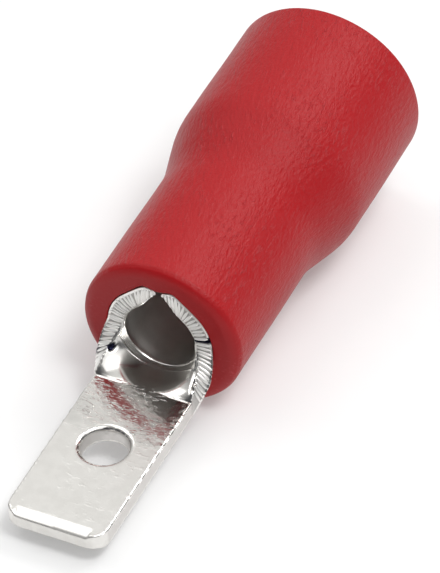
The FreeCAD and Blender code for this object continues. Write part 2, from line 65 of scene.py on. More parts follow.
# %% Axes from the barrel's mount
MM = 0.001
mounts = {mount["name"]: mount for mount in frame["record"]["mounts"]}
barrel_mount = mounts["wire_barrel"]
BARREL_LENGTH = barrel_mount["dims"]["length_mm"]
along = Vector(barrel_mount["axis"]).normalized()
across = Vector((0, 1, 0))
above = along.cross(across)
front_of_barrel = Vector(barrel_mount["pos_m"]) - along * (BARREL_LENGTH / 2 * MM)
TURN_TO_ROW = Matrix((along, across, above)).transposed()
LAY_DOWN = TURN_TO_ROW.to_4x4()
LAY_DOWN.translation = front_of_barrel
LAY_DOWN = LAY_DOWN @ Matrix.Scale(MM, 4)


def own_axes(point):
    """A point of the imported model, in the terminal's own axes and millimetres."""
    return LAY_DOWN.inverted() @ Vector(point)


print("barrel rises", round(math.degrees(math.asin(along.z)), 3), "degrees")

# %% Sizes of the sheet, in millimetres
GAUGE = 0.5
BORE_RADIUS = barrel_mount["dims"]["r_mm"]
MIDDLE_RADIUS = BORE_RADIUS + GAUGE / 2
TAB_TIP = own_axes(mounts["tab"]["pos_m"]).x
TAB_LEVEL = own_axes(mounts["tab"]["pos_m"]).z
HALF_TAB = 1.4
TIP_CORNER = 0.5
HOLE_PLACE = own_axes(mounts["locking_hole"]["pos_m"]).x
HOLE_RADIUS = mounts["locking_hole"]["dims"]["r_mm"]
CURL_RUN = 1.1
CURL_FLARE = 0.3
CURL_WRAP = math.radians(98)
CURL_POWER = 0.7
SEAM_RISE = math.radians(42)
TAB_LIFT = TAB_LEVEL + MIDDLE_RADIUS
print("tab tip at", round(TAB_TIP, 3), "hole at", round(HOLE_PLACE, 3), "lift", round(TAB_LIFT, 3))

# %% [markdown]
# ## The blade as a flat blank that is rolled up
#
# A press tool starts from a flat blank: a tab with a hole whose back end is as wide as
# the barrel's wall is long. Modelling the finished roll directly would mean fighting
# its edges everywhere. So the mesh is drawn the way the press works: a grid on the flat
# blank, with two coordinates on the sheet and one through its thickness, and one
# function that bends any such point into place. Edge breaks, the rolled hole edge and
# the lead-in bevel are then only a matter of how thick the sheet is near an edge.

# %% The blank's outline
FULL_WRAP = CURL_WRAP * MIDDLE_RADIUS
CURL_SPREAD = FULL_WRAP - HALF_TAB - CURL_FLARE
PAST_WRAP = 1.2
TIP_STOPS, CORNER_STOPS, SIDE_STOPS, CURL_STOPS, FRONT_STOPS = 40, 60, 200, 160, 60


def neck_share(along_sheet):
    """How far a place is from the crease, 0, to the barrel, 1."""
    return np.clip((along_sheet + CURL_RUN) / CURL_RUN, 0, 1)


def half_width(along_sheet):
    """Half the blank's width, measured on the sheet itself."""
    share = neck_share(along_sheet)
    sweep = 1 - np.sqrt(1 - share * share)
    width = HALF_TAB + share * CURL_FLARE + sweep * CURL_SPREAD
    into_corner = np.clip(TIP_CORNER - (along_sheet - TAB_TIP), 0, TIP_CORNER)
    return width - TIP_CORNER + np.sqrt(TIP_CORNER**2 - into_corner**2)


def outline_points():
    """The outline's right half as a fine chain, from the tip to the barrel's front edge."""
    tip = [(TAB_TIP, width) for width in np.linspace(0, HALF_TAB - TIP_CORNER, TIP_STOPS)]
    corner = [(TAB_TIP + TIP_CORNER * (1 - math.cos(angle)),
               HALF_TAB - TIP_CORNER * (1 - math.sin(angle)))
              for angle in np.linspace(0, math.pi / 2, CORNER_STOPS)]
    side_places = np.linspace(TAB_TIP + TIP_CORNER, -CURL_RUN, SIDE_STOPS)
    neck_places = (np.sin(np.linspace(0, math.pi / 2, CURL_STOPS)) - 1) * CURL_RUN
    side = [(place, HALF_TAB) for place in side_places]
    neck = [(place, float(half_width(place))) for place in neck_places]
    front = [(0.0, width) for width in np.linspace(FULL_WRAP, FULL_WRAP + PAST_WRAP, FRONT_STOPS)]
    return np.array(tip + corner + side + neck + front)


OUTLINE = outline_points()
print("outline:", len(OUTLINE), "points, up to", round(float(OUTLINE[-1, 1]), 2), "mm to the side")

# %% [markdown]
# ## How thick the sheet is near its edges
#
# Shearing leaves one edge of the sheet rolled over and the other nearly sharp. A quarter
# of a circle in the thickness, as a function of the distance to the outline, makes that
# edge break. The locking hole was punched from above, so its upper edge is rolled over
# further, and the tip is coined thinner so that it finds its way into a receptacle. The
# tool's own marks are levels too: burrs, two faint ridges, a fold and two dents.

# %% Thickness rules
EDGE_BREAK = 0.055
LOWER_BREAK = 0.03
HOLE_ROLL = 0.15
BEVEL_RUN = 0.3
BEVEL_DROP = 0.075
BURR_FINENESS = 12.0
BURR_HEIGHT = 0.045
BURR_REACH = 0.06
LEFT_BURR_SHARE = 0.4
BEVEL_HALF_WIDTH, BEVEL_SHIFT, BEVEL_FADE = 1.10, 0.04, 0.09
GROOVE_MIDDLE, GROOVE_REACH = -0.55, 0.42
GROOVE_DEPTH, GROOVE_INSET, GROOVE_WIDTH = 0.17, 0.085, 0.03
PRESS_WIDTH, PRESS_LEAN, PRESS_FADE = 0.022, -0.07, 0.35
CREASE_WIDTH = 0.025
# Ridges in the mouth as place and height, burrs on the crease as middle, reach and
# height, and dents as place, width, size and depth.
PRESS_LINES = ((0.03, 0.014), (-0.19, 0.006))
CREASE_LINES = ((0.95, 0.42, 0.02), (-1.0, 0.36, 0.02))
DENTS = ((-0.44, 1.54, 0.09, 0.10), (-0.42, -1.55, 0.13, 0.035))
BLOCK = 4000


def rolled(distance, radius):
    """Depth of a rounded edge at that distance from it."""
    inside = np.clip(radius - distance, 0, radius)
    return radius - np.sqrt(radius**2 - inside**2)


def hump(offset, reach):
    """A soft hump of height one at offset zero."""
    return np.exp(-((offset / reach) ** 2))


def edge_distance(place, width):
    """Distance of sheet points to the blank's outline."""
    points = np.column_stack((np.ravel(place), np.abs(np.ravel(width))))
    nearest = np.empty(len(points))
    for start in range(0, len(points), BLOCK):
        gaps = np.linalg.norm(points[start:start + BLOCK, None] - OUTLINE[None], axis=2)
        nearest[start:start + BLOCK] = gaps.min(axis=1)
    return nearest.reshape(np.shape(place))


def press_lines(place, width):
    """Two faint ridges that the rolling tool's edge left inside the barrel's mouth."""
    lean = PRESS_LEAN * np.clip(-width, 0, None) ** 2
    fade = np.clip((FULL_WRAP - np.abs(width)) / PRESS_FADE, 0, 1)
    return fade * sum(height * hump(place - start - lean, PRESS_WIDTH) for start, height in PRESS_LINES)


def noise_at(*coordinates):
    """Noise between -1 and 1, the same on every run, for arrays of three coordinates."""
    spots = np.stack(np.broadcast_arrays(*coordinates), axis=-1)
    values = [noise.noise(Vector(spot)) for spot in spots.reshape(-1, 3)]
    return np.array(values).reshape(spots.shape[:-1])


def edge_burr(place, width, distance):
    """Unevenness of the sheared upper edge, along the tab and the neck."""
    uneven = noise_at(place * BURR_FINENESS, np.sign(width), 0.0 * distance)
    before_barrel = np.clip(-place / BURR_REACH, 0, 1)
    burr = BURR_HEIGHT * uneven * before_barrel * hump(distance, BURR_REACH)
    return burr * np.where(width < 0, 1.0, LEFT_BURR_SHARE)


def crease_lines(place, width):
    """Short burrs along the crease, one each side of the sheet's middle."""
    return sum(height * hump(place + CURL_RUN, CREASE_WIDTH)
               * np.clip(2 - 2 * np.abs((width - middle) / reach), 0, 1)
               for middle, reach, height in CREASE_LINES)


def dents(place, width):
    """How far the tool's corners pushed the sheet outwards, at a few places."""
    return sum(depth * np.exp(-((place - x) ** 2 + (width - y) ** 2) / size**2)
               for x, y, size, depth in DENTS)


def burr_groove(place, width, distance):
    """A fold between the burr on the neck's right edge and the smooth trough."""
    where = np.clip(1 - ((place - GROOVE_MIDDLE) / GROOVE_REACH) ** 2, 0, 1) * (width < 0)
    return GROOVE_DEPTH * where * hump(distance - GROOVE_INSET, GROOVE_WIDTH)


def sheet_level(place, width, upper):
    """Height of the upper or lower skin above the sheet's middle."""
    distance = edge_distance(place, width)
    hole = np.hypot(place - HOLE_PLACE, width) - HOLE_RADIUS
    bevel = BEVEL_DROP * np.clip(1 - (place - TAB_TIP) / BEVEL_RUN, 0, 1)
    if not upper:
        depth = GAUGE / 2 - rolled(distance, LOWER_BREAK) - rolled(hole, LOWER_BREAK) - bevel
        return -depth - dents(place, width)
    bevel = bevel * np.clip((BEVEL_HALF_WIDTH - np.abs(width - BEVEL_SHIFT)) / BEVEL_FADE, 0, 1)
    level = GAUGE / 2 - rolled(distance, EDGE_BREAK) - rolled(hole, HOLE_ROLL) - bevel
    level += crease_lines(place, width) + edge_burr(place, width, distance)
    level = level + press_lines(place, width) - dents(place, width)
    return level - burr_groove(place, width, distance)


tip_edge = GAUGE - 2 * BEVEL_DROP - EDGE_BREAK - LOWER_BREAK
print("tip is", round(tip_edge, 3), "mm thick at its edge")

# %% [markdown]
# ## Bending the blank
#
# Between the crease and the barrel the sheet's curvature grows from nothing to the
# barrel's, while its floor sinks a little. Every sheet point keeps its place on the
# sheet, so the metal neither stretches nor thins, which is what gives the neck its look.

# %% Roll a sheet point into place


def bend(place, width, level):
    """Sheet coordinates to the terminal's own axes, as an array of points."""
    share = neck_share(place)
    curve = np.maximum(share, 1e-9) ** CURL_POWER / MIDDLE_RADIUS
    sink = share * share * (3 - 2 * share)
    floor = (1 - sink) * TAB_LIFT - MIDDLE_RADIUS
    angle = width * curve
    small = np.abs(angle) < 1e-6
    safe = np.where(small, 1.0, angle)
    reach = np.where(small, 1.0, np.sin(safe) / safe)
    lift = np.where(small, 0.0, (1 - np.cos(safe)) / safe)
    side = width * reach - level * np.sin(angle)
    height = floor + width * lift + level * np.cos(angle)
    return np.stack((place, side, height), axis=-1)


print("neck's middle is at", np.round(bend(np.array(-0.5), np.array(0.0), np.array(0.0)), 3))

# %% [markdown]
# ## Grids of the sheet
#
# The rows along the sheet are closest where something happens: at the tip's bevel, at
# the crease and at the barrel's front edge. The columns crowd at the two edges, so that
# the edge breaks have a few faces of their own. Round the locking hole the grid gives
# way to a fan of rings, whose outer points are the grid's own.

# %% Rows and columns
HOLE_REACH = 1.0
WINDOW = (HOLE_PLACE - HOLE_REACH, HOLE_PLACE + HOLE_REACH)
CREASE_START = -CURL_RUN - 0.1
MOUTH_END = 0.6


def spread(*stretches):
    """Numbers from one stop to the next, with the given count of steps between."""
    numbers = [stretches[0][0]]
    for start, stop, steps in stretches:
        numbers += list(np.linspace(start, stop, steps + 1)[1:])
    return np.array(numbers)


edge_steps = 1 - EDGE_BREAK / HALF_TAB * (1 - np.sin(np.linspace(0, math.pi / 2, 5)))
window_column = HOLE_REACH / HALF_TAB
half_columns = np.concatenate((
    np.linspace(0, window_column, 23),
    np.linspace(window_column, edge_steps[0], 20)[1:],
    edge_steps[1:],
))
COLUMNS = np.concatenate((-half_columns[:0:-1], half_columns))
ROWS = np.concatenate((
    TAB_TIP + EDGE_BREAK * (1 - np.cos(np.linspace(0, math.pi / 2, 6))),
    spread((TAB_TIP + EDGE_BREAK, TAB_TIP + BEVEL_RUN, 7),
           (TAB_TIP + BEVEL_RUN, TAB_TIP + TIP_CORNER, 5),
           (TAB_TIP + TIP_CORNER, WINDOW[0], 44),
           (WINDOW[0], WINDOW[1], 44),
           (WINDOW[1], CREASE_START, 24),
           (CREASE_START, -CURL_RUN, 9))[1:],
    (np.sin(np.linspace(0, math.pi / 2, 90))[1:] - 1) * CURL_RUN,
    spread((0, EDGE_BREAK, 5), (EDGE_BREAK, MOUTH_END, 10), (MOUTH_END, BARREL_LENGTH, 22))[1:],
))
print(len(ROWS), "rows and", len(COLUMNS), "columns")

# %% A mesh that grows strip by strip


class Skin:
    """Points in the terminal's own axes, quads between them, and each point's sheet place."""

    def __init__(self):
        self.points = []
        self.faces = []
        self.sheet = []

    def add_grid(self, points, sheet, flip, skip=None, closed=False):
        """A grid of points as quads. sheet may be None, and skip tells which quads stay open."""
        first = len(self.points)
        rows, columns = points.shape[:2]
        self.points += [tuple(p) for p in points.reshape(-1, 3)]
        if sheet is not None:
            self.sheet += [tuple(p) for p in sheet.reshape(-1, 3)]
        for row in range(rows - 1):
            for column in range(columns if closed else columns - 1):
                if skip is not None and skip(row, column):
                    continue
                after = (column + 1) % columns
                here, next_row = first + row * columns, first + (row + 1) * columns
                quad = [here + column, here + after, next_row + after, next_row + column]
                self.faces.append(quad[::-1] if flip else quad)


def sheet_grid(skin, place, width, level, flip, skip=None, closed=False):
    """Bend a grid of sheet points and add it to the skin."""
    place, width, level = np.broadcast_arrays(place, width, level)
    sheet = np.stack((place, width, level), axis=-1)
    skin.add_grid(bend(place, width, level), sheet, flip, skip, closed)


print("skin helper ready")

# %% [markdown]
# ## The upper and lower skins, the hole and the sheared edge
#
# Each skin is one grid from the tip to the barrel's back end, with a window left open
# round the hole. The edge wall follows the outline from skin to skin. It is the only
# place where the press has torn the metal, so it gets its own unevenness.

# %% Skins of the tab, the neck and the barrel's floor
blade = Skin()
place_grid, share_grid = np.meshgrid(ROWS, COLUMNS, indexing="ij")
width_grid = share_grid * half_width(place_grid)
row_first, row_last = [int(np.argmin(np.abs(ROWS - stop))) for stop in WINDOW]
column_first, column_last = [int(np.argmin(np.abs(COLUMNS - side * window_column)))
                             for side in (-1, 1)]


def in_window(row, column):
    """Whether a quad lies in the window round the locking hole."""
    return row_first <= row < row_last and column_first <= column < column_last


for upper in (True, False):
    level_grid = sheet_level(place_grid, width_grid, upper)
    sheet_grid(blade, place_grid, width_grid, level_grid, not upper, in_window)
print("skins:", len(blade.faces), "quads")

# %% Rings round the locking hole
RING_STEPS = 10
window_rim = [(row_first, column) for column in range(column_first, column_last)]
window_rim += [(row, column_last) for row in range(row_first, row_last)]
window_rim += [(row_last, column) for column in range(column_last, column_first, -1)]
window_rim += [(row, column_first) for row in range(row_last, row_first, -1)]
rim_place = np.array([place_grid[spot] for spot in window_rim])
rim_width = np.array([width_grid[spot] for spot in window_rim])
rim_angle = np.arctan2(rim_width, rim_place - HOLE_PLACE)
rim_reach = np.hypot(rim_place - HOLE_PLACE, rim_width)
roll_steps = HOLE_ROLL * (1 - np.cos(np.linspace(0, math.pi / 2, 7)))


def hole_rings(radius_steps):
    """Ring points from the hole's wall out to the window's rim."""
    inner = HOLE_RADIUS + radius_steps
    outward = np.linspace(0, 1, RING_STEPS)[1:]
    reach = [np.full_like(rim_reach, radius) for radius in inner]
    reach += [inner[-1] + (rim_reach - inner[-1]) * step for step in outward]
    reach = np.array(reach)
    return HOLE_PLACE + reach * np.cos(rim_angle), reach * np.sin(rim_angle)


for upper in (True, False):
    ring_place, ring_width = hole_rings(roll_steps)
    ring_level = sheet_level(ring_place, ring_width, upper)
    sheet_grid(blade, ring_place, ring_width, ring_level, upper, closed=True)
wall_levels = np.linspace(GAUGE / 2 - HOLE_ROLL, LOWER_BREAK - GAUGE / 2, RING_STEPS)[:, None]
wall_place = HOLE_PLACE + HOLE_RADIUS * np.cos(rim_angle)
wall_width = HOLE_RADIUS * np.sin(rim_angle)
sheet_grid(blade, wall_place, wall_width, wall_levels, False, closed=True)
print("hole:", len(rim_angle), "points round it")

# %% The sheared edge of the tab and the neck
TEAR_DEPTH = 0.022
TEAR_FINENESS = 11.0
TEAR_LENGTH = 1.6
TEAR_START = 0.4
TEAR_FADE = 0.05
NECK_TEAR_SEED, FRONT_TEAR_SEED = 3.0, 7.0
FIRST_NICK, SECOND_NICK = FULL_WRAP + 0.09, FULL_WRAP + 0.17
# Nicks as side, place along the edge and depth.
NICKS = ((-1, FIRST_NICK, 0.14), (-1, SECOND_NICK, 0.08))
NICK_WIDTH = 0.026
NICK_FADE = 0.16
SHEAR_STEPS = 9
THROUGH = np.linspace(0, 1, SHEAR_STEPS)[:, None]
neck_rows = int(np.argmin(np.abs(ROWS))) + 1
edge_place = ROWS[:neck_rows]


def nick_depth(along_edge, side):
    """Cracks across the sheared front, where the neck's wrap ends."""
    return sum(depth * hump(along_edge - place, NICK_WIDTH)
               for nick_side, place, depth in NICKS if nick_side == side)


def torn(along_edge, through, seed):
    """How far a sheared wall stands back or out, in lines that run through the sheet."""
    lines = noise_at(along_edge * TEAR_FINENESS, through * TEAR_LENGTH, seed)
    return TEAR_DEPTH * lines * 4 * through * (1 - through)


def edge_wall(place, width, tear, flip):
    """Add the wall from the upper to the lower skin along an edge of the blank."""
    top, bottom = [sheet_level(place, width, upper) for upper in (True, False)]
    sheet_grid(blade, place, width - tear, top * (1 - THROUGH) + bottom * THROUGH, flip)


for side in (-1, 1):
    tear = torn(edge_place, THROUGH, NECK_TEAR_SEED + side) * neck_share(edge_place + TEAR_START)
    tear = tear * np.clip(-edge_place / TEAR_FADE, 0, 1)
    edge_wall(edge_place, side * half_width(edge_place), side * tear, side < 0)
edge_wall(np.full_like(width_grid[0], TAB_TIP), width_grid[0], 0, True)
print("blade so far:", len(blade.faces), "quads")

# %% [markdown]
# ## The barrel's shoulders and its seam
#
# Beyond the neck's wrap the wall belongs to the barrel alone. It follows the roll to 42
# degrees from the seam, then runs out straight, and its two lips are pinched thin and
# stand a little proud. The wall is drawn as pairs of inner and outer points, so that
# the thickness can change along it, and pushed along the barrel.

# %% Inner and outer chain of one shoulder
SEAM_GAP = 0.12
SEAM_SHOULDER = 0.3
SEAM_SLOPE = math.radians(15)
SEAM_PINCH = 0.38
SEAM_NOSE = 0.12
SEAM_OFF_CENTRE = -0.05
INNER_SOFTENING = 60
OUTER_SOFTENING = 110
OUTER_RADIUS = BORE_RADIUS + GAUGE
ARC_STOPS, STRAIGHT_STEPS = 60, 30


def run_out(radius, to_side):
    """Where the roll of this radius runs out straight, and its end at that side distance."""
    leave = np.array((radius * math.sin(SEAM_RISE), radius * math.cos(SEAM_RISE)))
    end = np.array((to_side, leave[1] + (leave[0] - to_side) * math.tan(SEAM_RISE)))
    return leave, end


def line_points(start, end, count):
    """That many points on a line, without its start."""
    return np.linspace(start, end, count + 1)[1:]


def soften(chain, times):
    """Round a chain's corners without moving its ends."""
    for _ in range(times):
        middle = (chain[:-2] + 2 * chain[1:-1] + chain[2:]) / 4
        chain = np.vstack((chain[:1], middle, chain[-1:]))
    return chain


def shoulder_chains():
    """Matching inner and outer points from the neck's wrap to the seam."""
    turn = np.linspace(CURL_WRAP, math.pi - SEAM_RISE, ARC_STOPS)
    inner_arc, outer_arc = [np.column_stack((radius * np.sin(turn), -radius * np.cos(turn)))
                            for radius in (BORE_RADIUS, OUTER_RADIUS)]
    leave_in, pinch = run_out(BORE_RADIUS, SEAM_GAP + SEAM_PINCH)
    leave_out, corner = run_out(OUTER_RADIUS, SEAM_GAP + SEAM_SHOULDER)
    nose_top = np.array((SEAM_GAP, corner[1] - SEAM_SHOULDER * math.tan(SEAM_SLOPE)))
    nose_low = nose_top - np.array((0, SEAM_NOSE))
    inner = np.vstack((inner_arc, line_points(leave_in, pinch, STRAIGHT_STEPS),
                       line_points(pinch, nose_low, STRAIGHT_STEPS)))
    outer = np.vstack((outer_arc, line_points(leave_out, corner, STRAIGHT_STEPS),
                       line_points(corner, nose_top, STRAIGHT_STEPS)))
    return soften(inner, INNER_SOFTENING), soften(outer, OUTER_SOFTENING)


INNER_CHAIN, OUTER_CHAIN = shoulder_chains()
chain_steps = np.linalg.norm(np.diff((INNER_CHAIN + OUTER_CHAIN) / 2, axis=0), axis=1)
CHAIN_WIDTH = FULL_WRAP + np.concatenate(([0], np.cumsum(chain_steps)))
print("shoulder chain is", round(float(CHAIN_WIDTH[-1] - FULL_WRAP), 3), "mm long")

# %% Points of a shoulder, and their places on the blank


def shoulder_grid(places, levels, side):
    """Points of a shoulder for rows of places and levels from -1, outside, to 1, inside."""
    blend = (levels[..., None] + 1) / 2
    section = OUTER_CHAIN * (1 - blend) + INNER_CHAIN * blend
    drift = SEAM_OFF_CENTRE * np.linspace(0, 1, len(OUTER_CHAIN)) ** 2
    sideways = side * section[..., 0] + drift
    return np.stack((np.broadcast_to(places, sideways.shape), sideways, section[..., 1]), axis=-1)


def shoulder_sheet(places, levels, side):
    """The same points' places on the blank."""
    width = np.broadcast_to(side * CHAIN_WIDTH, levels.shape)
    return np.stack((np.broadcast_to(places, levels.shape), width, levels * GAUGE / 2), axis=-1)


def add_shoulder(places, blank_places, levels, side, flip):
    """Add a grid of a shoulder to the blade."""
    sheet = shoulder_sheet(blank_places, levels, side)
    blade.add_grid(shoulder_grid(places, levels, side), sheet, flip)


print("shoulder helpers ready")

# %% Both shoulders, pushed along the barrel
barrel_rows = ROWS[neck_rows - 1:, None]
along_chain = np.ones(len(CHAIN_WIDTH))
from_ends = np.minimum(CHAIN_WIDTH - FULL_WRAP, CHAIN_WIDTH[-1] - CHAIN_WIDTH)
between_seams = np.clip(from_ends / TEAR_FADE, 0, 1)
inner_level = 1 - 2 / GAUGE * rolled(barrel_rows, EDGE_BREAK) * along_chain
outer_level = -1 + 2 / GAUGE * rolled(barrel_rows, LOWER_BREAK) * along_chain
shear = np.linspace(inner_level[0, 0], outer_level[0, 0], SHEAR_STEPS)[:, None] * along_chain
nose_levels = inner_level[:, -1] * (1 - THROUGH) + outer_level[:, -1] * THROUGH
lip = np.repeat(nose_levels[..., None], len(CHAIN_WIDTH), axis=2)
for side in (-1, 1):
    nicked = nick_depth(CHAIN_WIDTH[None], side)
    places = barrel_rows + nicked * np.exp(-barrel_rows / NICK_FADE)
    for levels, flip in ((inner_level, side < 0), (outer_level, side > 0)):
        add_shoulder(places, barrel_rows, levels, side, flip)
    shear_place = torn(CHAIN_WIDTH[None], THROUGH, FRONT_TEAR_SEED + side) * between_seams + nicked
    add_shoulder(shear_place, shear_place, shear, side, side > 0)
    lip_points = shoulder_grid(barrel_rows[None], lip, side)[:, :, -1]
    lip_sheet = shoulder_sheet(barrel_rows[None], lip, side)[:, :, -1]
    blade.add_grid(lip_points, lip_sheet, side < 0)
print("blade with shoulders:", len(blade.faces), "quads")

# %% The barrel's back end
back_levels = np.linspace(1, -1, SHEAR_STEPS)[:, None]
levels = back_levels * along_chain
ends = np.full((SHEAR_STEPS, 1), BARREL_LENGTH)
sheet_grid(blade, ends, COLUMNS * FULL_WRAP, back_levels * GAUGE / 2, False)
for side in (-1, 1):
    add_shoulder(ends, ends, levels, side, side < 0)
print("blade:", len(blade.faces), "quads,", len(blade.points), "points")

# %% [markdown]
# ## From points to a mesh
#
# The grids were laid edge to edge, so their seams hold every point twice. Merging the
# doubles closes the skin. Each point also keeps its place on the blank as an attribute,
# because the plating's scratches were made on flat sheet and have to follow the roll.

# %% Close the blade's skin
BLADE_MERGE, BLADE_SHARP = 2e-4, 40


def put_in_scene(name, data):
    """A new object at the origin with that data, linked to the scene."""
    placed = bpy.data.objects.new(name, data)
    bpy.context.scene.collection.objects.link(placed)
    return placed


def mesh_piece(name, skin, finish):
    """An object made of a skin's points, finished in the terminal's axes and then laid down."""
    mesh = bpy.data.meshes.new(name)
    mesh.from_pydata(skin.points, [], skin.faces)
    finish(mesh)
    mesh.transform(LAY_DOWN)
    mesh.update()
    return put_in_scene(name, mesh)


def close_and_smooth(mesh, distance, sharp_degrees):
    """Merge doubled points, turn every face outwards, and shade smooth up to that angle."""
    shape = bmesh.new()
    shape.from_mesh(mesh)
    bmesh.ops.remove_doubles(shape, verts=shape.verts, dist=distance)
    bmesh.ops.dissolve_degenerate(shape, edges=shape.edges, dist=distance / 2)
    bmesh.ops.recalc_face_normals(shape, faces=shape.faces)
    for edge in shape.edges:
        if len(edge.link_faces) == 2:
            edge.smooth = edge.calc_face_angle(0) < math.radians(sharp_degrees)
    open_edges = sum(1 for edge in shape.edges if len(edge.link_faces) != 2)
    shape.to_mesh(mesh)
    shape.free()
    mesh.shade_smooth()
    return open_edges


def store_values(mesh, name, values):
    """Keep a number or a vector for every point under that name."""
    values = np.asarray(values, dtype=np.float32)
    kind, key = ("FLOAT", "value") if values.ndim == 1 else ("FLOAT_VECTOR", "vector")
    mesh.attributes.new(name, kind, "POINT").data.foreach_set(key, values.ravel())


def finish_blade(mesh):
    """Sheet places, closed seams and smooth shading for the blade."""
    store_values(mesh, "sheet_place", blade.sheet)
    print("open edges:", close_and_smooth(mesh, BLADE_MERGE, BLADE_SHARP))


rolled_blade = mesh_piece("rolled_blade", blade, finish_blade)
print("rolled_blade:", len(rolled_blade.data.polygons), "faces")

# %% [markdown]
# ## Networks of nodes
#
# The ridges, the materials and the studio are node trees, and most of their lines only
# make nodes and join them. One small class keeps them readable: it adds a node with its
# inputs set or linked, and it makes the sums, soft steps, noises and mixes of shaders.

# %% A network of nodes


class Network:
    """A node tree, with short ways to add what the trees below need."""

    def __init__(self, tree):
        self.tree = tree

    def feed(self, node, values):
        """Set or link a node's inputs, by name or number."""
        for name, value in values.items():
            if isinstance(value, bpy.types.NodeSocket):
                self.tree.links.new(value, node.inputs[name])
            else:
                node.inputs[name].default_value = value

    def add(self, kind, values=None, **settings):
        """The outputs of a new node with those settings and inputs."""
        node = self.tree.nodes.new(kind)
        for name, value in settings.items():
            setattr(node, name, value)
        self.feed(node, values or {})
        return node.outputs

    def math(self, operation, first, second=0.0, clamp=False):
        """A number worked out from others."""
        values = {0: first, 1: second}
        return self.add("ShaderNodeMath", values, operation=operation, use_clamp=clamp)[0]

    def times(self, first, second):
        """The product of two numbers."""
        return self.math("MULTIPLY", first, second)

    def total(self, *numbers):
        """The sum of several numbers."""
        return functools.reduce(functools.partial(self.math, "ADD"), numbers)

    def vector(self, operation, first, second, output):
        """A vector or number worked out from two vectors."""
        return self.add("ShaderNodeVectorMath", {0: first, 1: second}, operation=operation)[output]

    def ramp(self, factor, low, high, floor=0.0, ceiling=1.0):
        """A soft step: floor below low, ceiling above high."""
        values = {"Value": factor, "From Min": low, "From Max": high,
                  "To Min": floor, "To Max": ceiling}
        return self.add("ShaderNodeMapRange", values, interpolation_type="SMOOTHSTEP")["Result"]

    def cloud(self, vector, scale, detail, **more):
        """Noise between 0 and 1 at a vector."""
        values = {"Vector": vector, "Scale": scale, "Detail": detail, **more}
        return self.add("ShaderNodeTexNoise", values)["Fac"]

    def attribute(self, name, output):
        """An attribute that the mesh carries."""
        return self.add("ShaderNodeAttribute", attribute_name=name)[output]

    def mix(self, factor, first, second):
        """Two colours mixed by a factor."""
        return self.add("ShaderNodeMix", {0: factor, 6: first, 7: second}, data_type="RGBA")[2]

    def bump(self, height, strength, distance):
        """A normal that follows a small height."""
        values = {"Height": height, "Strength": strength, "Distance": distance}
        return self.add("ShaderNodeBump", values)["Normal"]


print("network class ready")

# %% [markdown]
# ## Ridges that the shears tore into the edge
#
# The barrel's front edge and the neck's sides were cut, not rolled, and they show a row
# of short ridges through the sheet's thickness. They repeat along a path, which is what
# Geometry Nodes are good at. A thin guide follows the middle of the sheared edge and
# carries two directions and the local thickness, with a gap at the two nicks. The tree
# spaces points along it, puts a rounded ridge on each, turns it by those directions and
# varies it with a fixed seed.

# %% Guide along the sheared edge
RIDGE_END = -0.85
NECK_STOPS = 60
NICKS_END = FULL_WRAP + 0.19


def unit_rows(vectors):
    """Every row brought to length one."""
    return vectors / np.linalg.norm(vectors, axis=-1, keepdims=True)


def edge_guide(side):
    """Middle, outward direction, through direction and thickness along one sheared edge."""
    front = shoulder_grid(np.zeros((1, 1)), 0 * along_chain[None], side)[0][::-1]
    inner = shoulder_grid(np.zeros((1, 1)), along_chain[None], side)[0][::-1]
    front_out = np.tile((-1.0, 0.0, 0.0), (len(front), 1))
    neck_faces = (-1.0, side, 0.6)
    stops = RIDGE_END * np.linspace(0, 1, NECK_STOPS + 1)[1:] ** 2
    edge = side * half_width(stops)
    neck = bend(stops, edge, np.zeros(NECK_STOPS))
    neck_inner = bend(stops, edge, np.full(NECK_STOPS, GAUGE / 2))
    through = unit_rows(neck - neck_inner)
    tangent = unit_rows(np.gradient(neck, axis=0))
    neck_out = unit_rows(np.cross(tangent, through))
    neck_out *= np.sign(np.sum(neck_out * neck_faces, axis=1))[:, None]
    to_outside = np.vstack((front - inner, neck - neck_inner))
    thickness = 2 * np.linalg.norm(to_outside, axis=1)
    return (np.vstack((front, neck)), np.vstack((front_out, neck_out)),
            unit_rows(to_outside), thickness)


def piece_of(guide, first, last):
    """A stretch of a guide."""
    return tuple(values[first:last] for values in guide)


right_guide, left_guide = edge_guide(-1), edge_guide(1)
before_nicks = int(np.sum(CHAIN_WIDTH > NICKS_END))
guides = [left_guide, piece_of(right_guide, 0, before_nicks),
          piece_of(right_guide, len(CHAIN_WIDTH), None)]
print("guides:", [len(guide[0]) for guide in guides], "points")

# %% A tree that sets ridges along a guide
RIDGE_BLANK = {"Segments": 12, "Rings": 8, "Radius": 0.5}
THICKNESS_SHARES = (0.80, 0.97)
WIDTH_SHARES = (0.75, 1.2)
HEIGHT_SHARES = (0.5, 1.15)
TREE_INPUTS = (("Geometry", "Geometry"), ("Spacing", "Float"), ("Ridge Width", "Float"),
               ("Ridge Height", "Float"), ("Jitter", "Float"), ("Seed", "Int"),
               ("Finish", "Material"))


